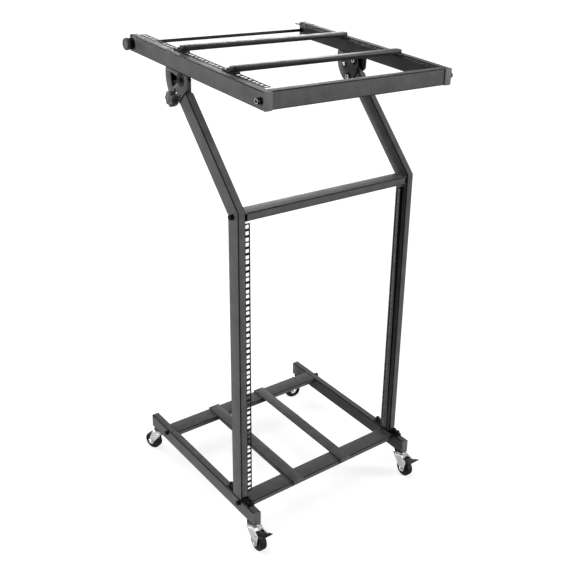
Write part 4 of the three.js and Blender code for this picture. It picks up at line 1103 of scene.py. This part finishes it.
def top_bar_bolts():
    """Socket bolts through the rails, with deep cap heads and a painted highlight of bright zinc round their
    sockets.
    """
    for name, side in SIDES:
        node = f"{name}_top_bar_bolt"
        low, high = extent(node, TOP)
        centre = middle_line(low, high)
        outer, inner = outer_and_inner(low, high, side)
        shells = cap_bolt(TOP_BOLT, outer, inner, side, centre)
        piece(f"{name}_top_bar_bolt_set", shells, TOP, "top_frame", BLACK_OXIDE, [node])
        # The bright zinc ring is a painted highlight
        ring = flat_ring(*HIGHLIGHT_RING["radii"], outer - side * HIGHLIGHT_RING["sunk"], outer + side * HIGHLIGHT_RING["proud"],
                         centre)
        piece(f"{name}_top_bar_bolt_painted_highlight_ring", [ring], TOP, "top_frame", ZINC_PLATE)


def rear_tie_rod():
    """A round rod along X with a nut against the inner side of each rail."""
    low, high = extent("rear_tie_rod", TOP)
    centre = middle_line(low, high)
    shells = [rounded_rod(TIE_ROD["radius"], low[0], high[0], centre, "x", 0.5, 40)]
    for side in (-1, 1):
        face = side * TIE_ROD["nut_at"]
        shells.append(hex_head(TIE_ROD["nut"], face, face - side * TIE_ROD["nut_thick"], centre, "x"))
    piece("rear_tie_rod_and_nuts", shells, TOP, "top_frame", BLACK_OXIDE, ["rear_tie_rod"])


def tie_knobs():
    """A smooth black sleeve, then a grey disc whose rim swells as a fine cosine round it."""
    for name, side in SIDES:
        node = f"{name}_tie_knob"
        low, high = extent(node, TOP)
        centre = middle_line(low, high)
        _, inner = outer_and_inner(low, high, side)
        sleeve = turned(placed(SLEEVE, inner, side), centre, "x", 56)
        piece(f"{name}_tie_knob_sleeve", [sleeve], TOP, f"{name}_tie_knob", BLACK_NYLON, [node])
        angle = np.linspace(0, 2 * np.pi, RIPPLES["count"] * RIPPLES["steps"], endpoint=False)
        rim, height, offset = np.array(DISC).T
        radius = rim[:, None] + height[:, None] * np.cos(RIPPLES["count"] * angle)
        profiles = radius[..., None] * unit(angle)
        disc = skin(stations(profiles, inner + side * offset, "x") + np.array(centre))
        piece(f"{name}_tie_knob_disc", [disc], TOP, f"{name}_tie_knob", MOULDED_NYLON)


def support_bars():
    """A flat bar whose ends are half circles, on two slotted shoes, each held by a pan-head screw."""
    for name in ("front", "rear"):
        node = f"{name}_support_bar"
        low, high = extent(node, TOP)
        half = SUPPORT["half"]
        middle, under = low[1] + half, low[2] + SUPPORT["over_shoe"]
        right = [high[0] - half, middle] + half * unit(np.linspace(-np.pi / 2, np.pi / 2, 17))
        left = [0, 2 * middle] - right
        shells = [plate(np.concatenate([right, left]), [], (under, high[2]), "z", SUPPORT["edge"])]
        for side in (-1, 1):
            x = side * SHOE["at"]
            outline = rounded((x - SHOE["half"], middle - SHOE["front"]),
                              (x + SHOE["half"], middle + SHOE["rear"]), SHOE["corner"], 4)
            slot = rounded((x - SHOE_SLOT["half"], middle + SHOE_SLOT["front"]),
                           (x + SHOE_SLOT["half"], middle + SHOE_SLOT["rear"]), SHOE_SLOT["corner"], 5)
            shells.append(plate(outline, [slot], (low[2], under + SUNK), "z", SHOE["edge"]))
            shells.append(turned(placed(PAN_HEAD, under), [x, middle + PAN_BEHIND, 0], "z", 32))
        # The bars' darker coat is painted shade
        piece(f"{name}_support_bar_and_shoes", shells, TOP, node, SHADED_BAR_COAT, [node])


# Stage, lamps and camera. The floor is a square of twice the half in metres. Its glow and the
# air's strength differ by the kind of ray: one that the camera sends, one mirrored in a part, and for
# the air one that lights a surface.
FLOOR = {"half": 14.0, "board": "#b0b0b0", "glow": 0.74, "mirrored": 0.4}
AIR = {"lit": 0.05, "mirrored": 0.5, "seen": 1.0}
WHITE = linear("#ffffff")


def seen_levels(mirrored, seen):
    """Levels by light path name: one for a mirrored ray, and one for what the camera sees."""
    return {"Is Glossy Ray": mirrored, "Is Transmission Ray": seen, "Is Camera Ray": seen}


def light_path_level(tree, levels, others):
    """A strength for each kind of ray: levels by light path name, and one for all other rays."""
    path = add(tree, "ShaderNodeLightPath")
    level = add(tree, "ShaderNodeValue").outputs[0]
    level.default_value = others
    for name, value in levels.items():
        chosen = add(tree, "ShaderNodeMix", inputs={0: path.outputs[name], 2: level, 3: value})
        level = chosen.outputs[0]
    return level


def stage_floor():
    """Matt pale board. The camera sees it lit up to white, less where a shadow lies."""
    material = bpy.data.materials.new("matt pale board")
    tree = bare_tree(material)
    board = add(tree, "ShaderNodeBsdfDiffuse", inputs={"Color": linear(FLOOR["board"])})
    strength = light_path_level(tree, seen_levels(FLOOR["mirrored"], FLOOR["glow"]), 0.0)
    glow = add(tree, "ShaderNodeEmission", inputs={"Color": WHITE, "Strength": strength})
    both = add(tree, "ShaderNodeAddShader", inputs={0: board.outputs[0], 1: glow.outputs[0]})
    add(tree, "ShaderNodeOutputMaterial", inputs={"Surface": both.outputs[0]})
    half = FLOOR["half"]
    corners = [(-half, -half, 0), (half, -half, 0), (half, half, 0), (-half, half, 0)]
    mesh = bpy.data.meshes.new("floor")
    mesh.from_pydata(corners, [], [(0, 1, 2, 3)])
    mesh.materials.append(material)
    in_scene("floor", mesh)


def studio_air():
    """White to the camera, a soft grey that lights the parts, and a paler one in their sheen."""
    world = bpy.data.worlds.new("studio")
    bpy.context.scene.world = world
    tree = bare_tree(world)
    strength = light_path_level(tree, seen_levels(AIR["mirrored"], AIR["seen"]), AIR["lit"])
    air = add(tree, "ShaderNodeBackground", inputs={"Color": WHITE, "Strength": strength})
    add(tree, "ShaderNodeOutputWorld", inputs={"Surface": air.outputs[0]})


# Softboxes: the direction each stands in, its strength and its width in degrees
LAMPS = {
    # Narrow and level, for the faces that look left
    "side softbox": ((-1.0, 0.045, 0.01), 2.35, 2.5),
    # Weak, for the pale tops of the rails
    "rim softbox": ((0.52, 0.83, 0.18), 0.4, 18),
    # For the faces that look back
    "back softbox": ((-0.15, 1.0, 0.15), 2.2, 20),
    # Wide, for the tops and a soft shadow on the floor
    "top softbox": ((-0.3, 0.1, 1.0), 1.4, 50),
    # For the faces that look forward and to the right
    "front softbox": ((0.9, -0.85, 0.3), 3.6, 20),
}


def lamp(name, direction, strength, spread):
    """A far softbox in that direction: its strength on a surface that faces it, and its width as an
    angle in degrees."""
    light = bpy.data.lights.new(name, "SUN")
    light.energy = strength
    light.angle = math.radians(spread)
    way = Vector(direction)
    in_scene(name, light, Matrix.Translation(way) @ way.to_track_quat("Z", "Y").to_matrix().to_4x4())


# The camera that was fitted to the photo: lens, picture and lens axis in pixels, sensor in
# millimetres, eye in metres and angles in degrees
LENS_PX = 864.09
IMAGE_PX = 576
SENSOR = 36.0
CENTRE_PX = (385.92, 259.2)
EYE = (-1.226329, -1.751079, 1.626305)
YAW, PITCH, ROLL = (math.radians(angle) for angle in (-42.482, 24.02, 3.597))


def camera():
    """A camera at the photograph's viewing angle, from its place, its three angles and its lens in
    pixels. The picture's centre lies a little off the lens axis."""
    data = bpy.data.cameras.new("camera")
    data.sensor_width = SENSOR
    data.lens = LENS_PX * SENSOR / IMAGE_PX
    data.shift_x = (IMAGE_PX / 2 - CENTRE_PX[0]) / IMAGE_PX
    data.shift_y = (CENTRE_PX[1] - IMAGE_PX / 2) / IMAGE_PX
    ahead = Vector((-math.sin(YAW) * math.cos(PITCH), math.cos(YAW) * math.cos(PITCH), -math.sin(PITCH)))
    level = Vector((math.cos(YAW), math.sin(YAW), 0))
    above = level.cross(ahead)
    right = math.cos(ROLL) * level + math.sin(ROLL) * above
    up = math.cos(ROLL) * above - math.sin(ROLL) * level
    turn = Matrix((right, up, -ahead)).transposed().to_4x4()
    bpy.context.scene.camera = in_scene("camera", data, Matrix.Translation(Vector(EYE)) @ turn)


bpy.context.scene.view_settings.view_transform = "Standard"
camera()
stage_floor()
studio_air()
for softbox, (direction, strength, spread) in LAMPS.items():
    lamp(softbox, direction, strength, spread)

runners()
base_crossbars()
shelf_straps()
clamp_bolts()
post_feet()
posts()
post_strips()
mid_crossbar()
casters()
tilt_brackets()
arm_tongues()
knuckle_bolts()
lock_knobs()
top_rails()
top_strips()
top_front_bar()
top_bar_bolts()
rear_tie_rod()
tie_knobs()
support_bars()
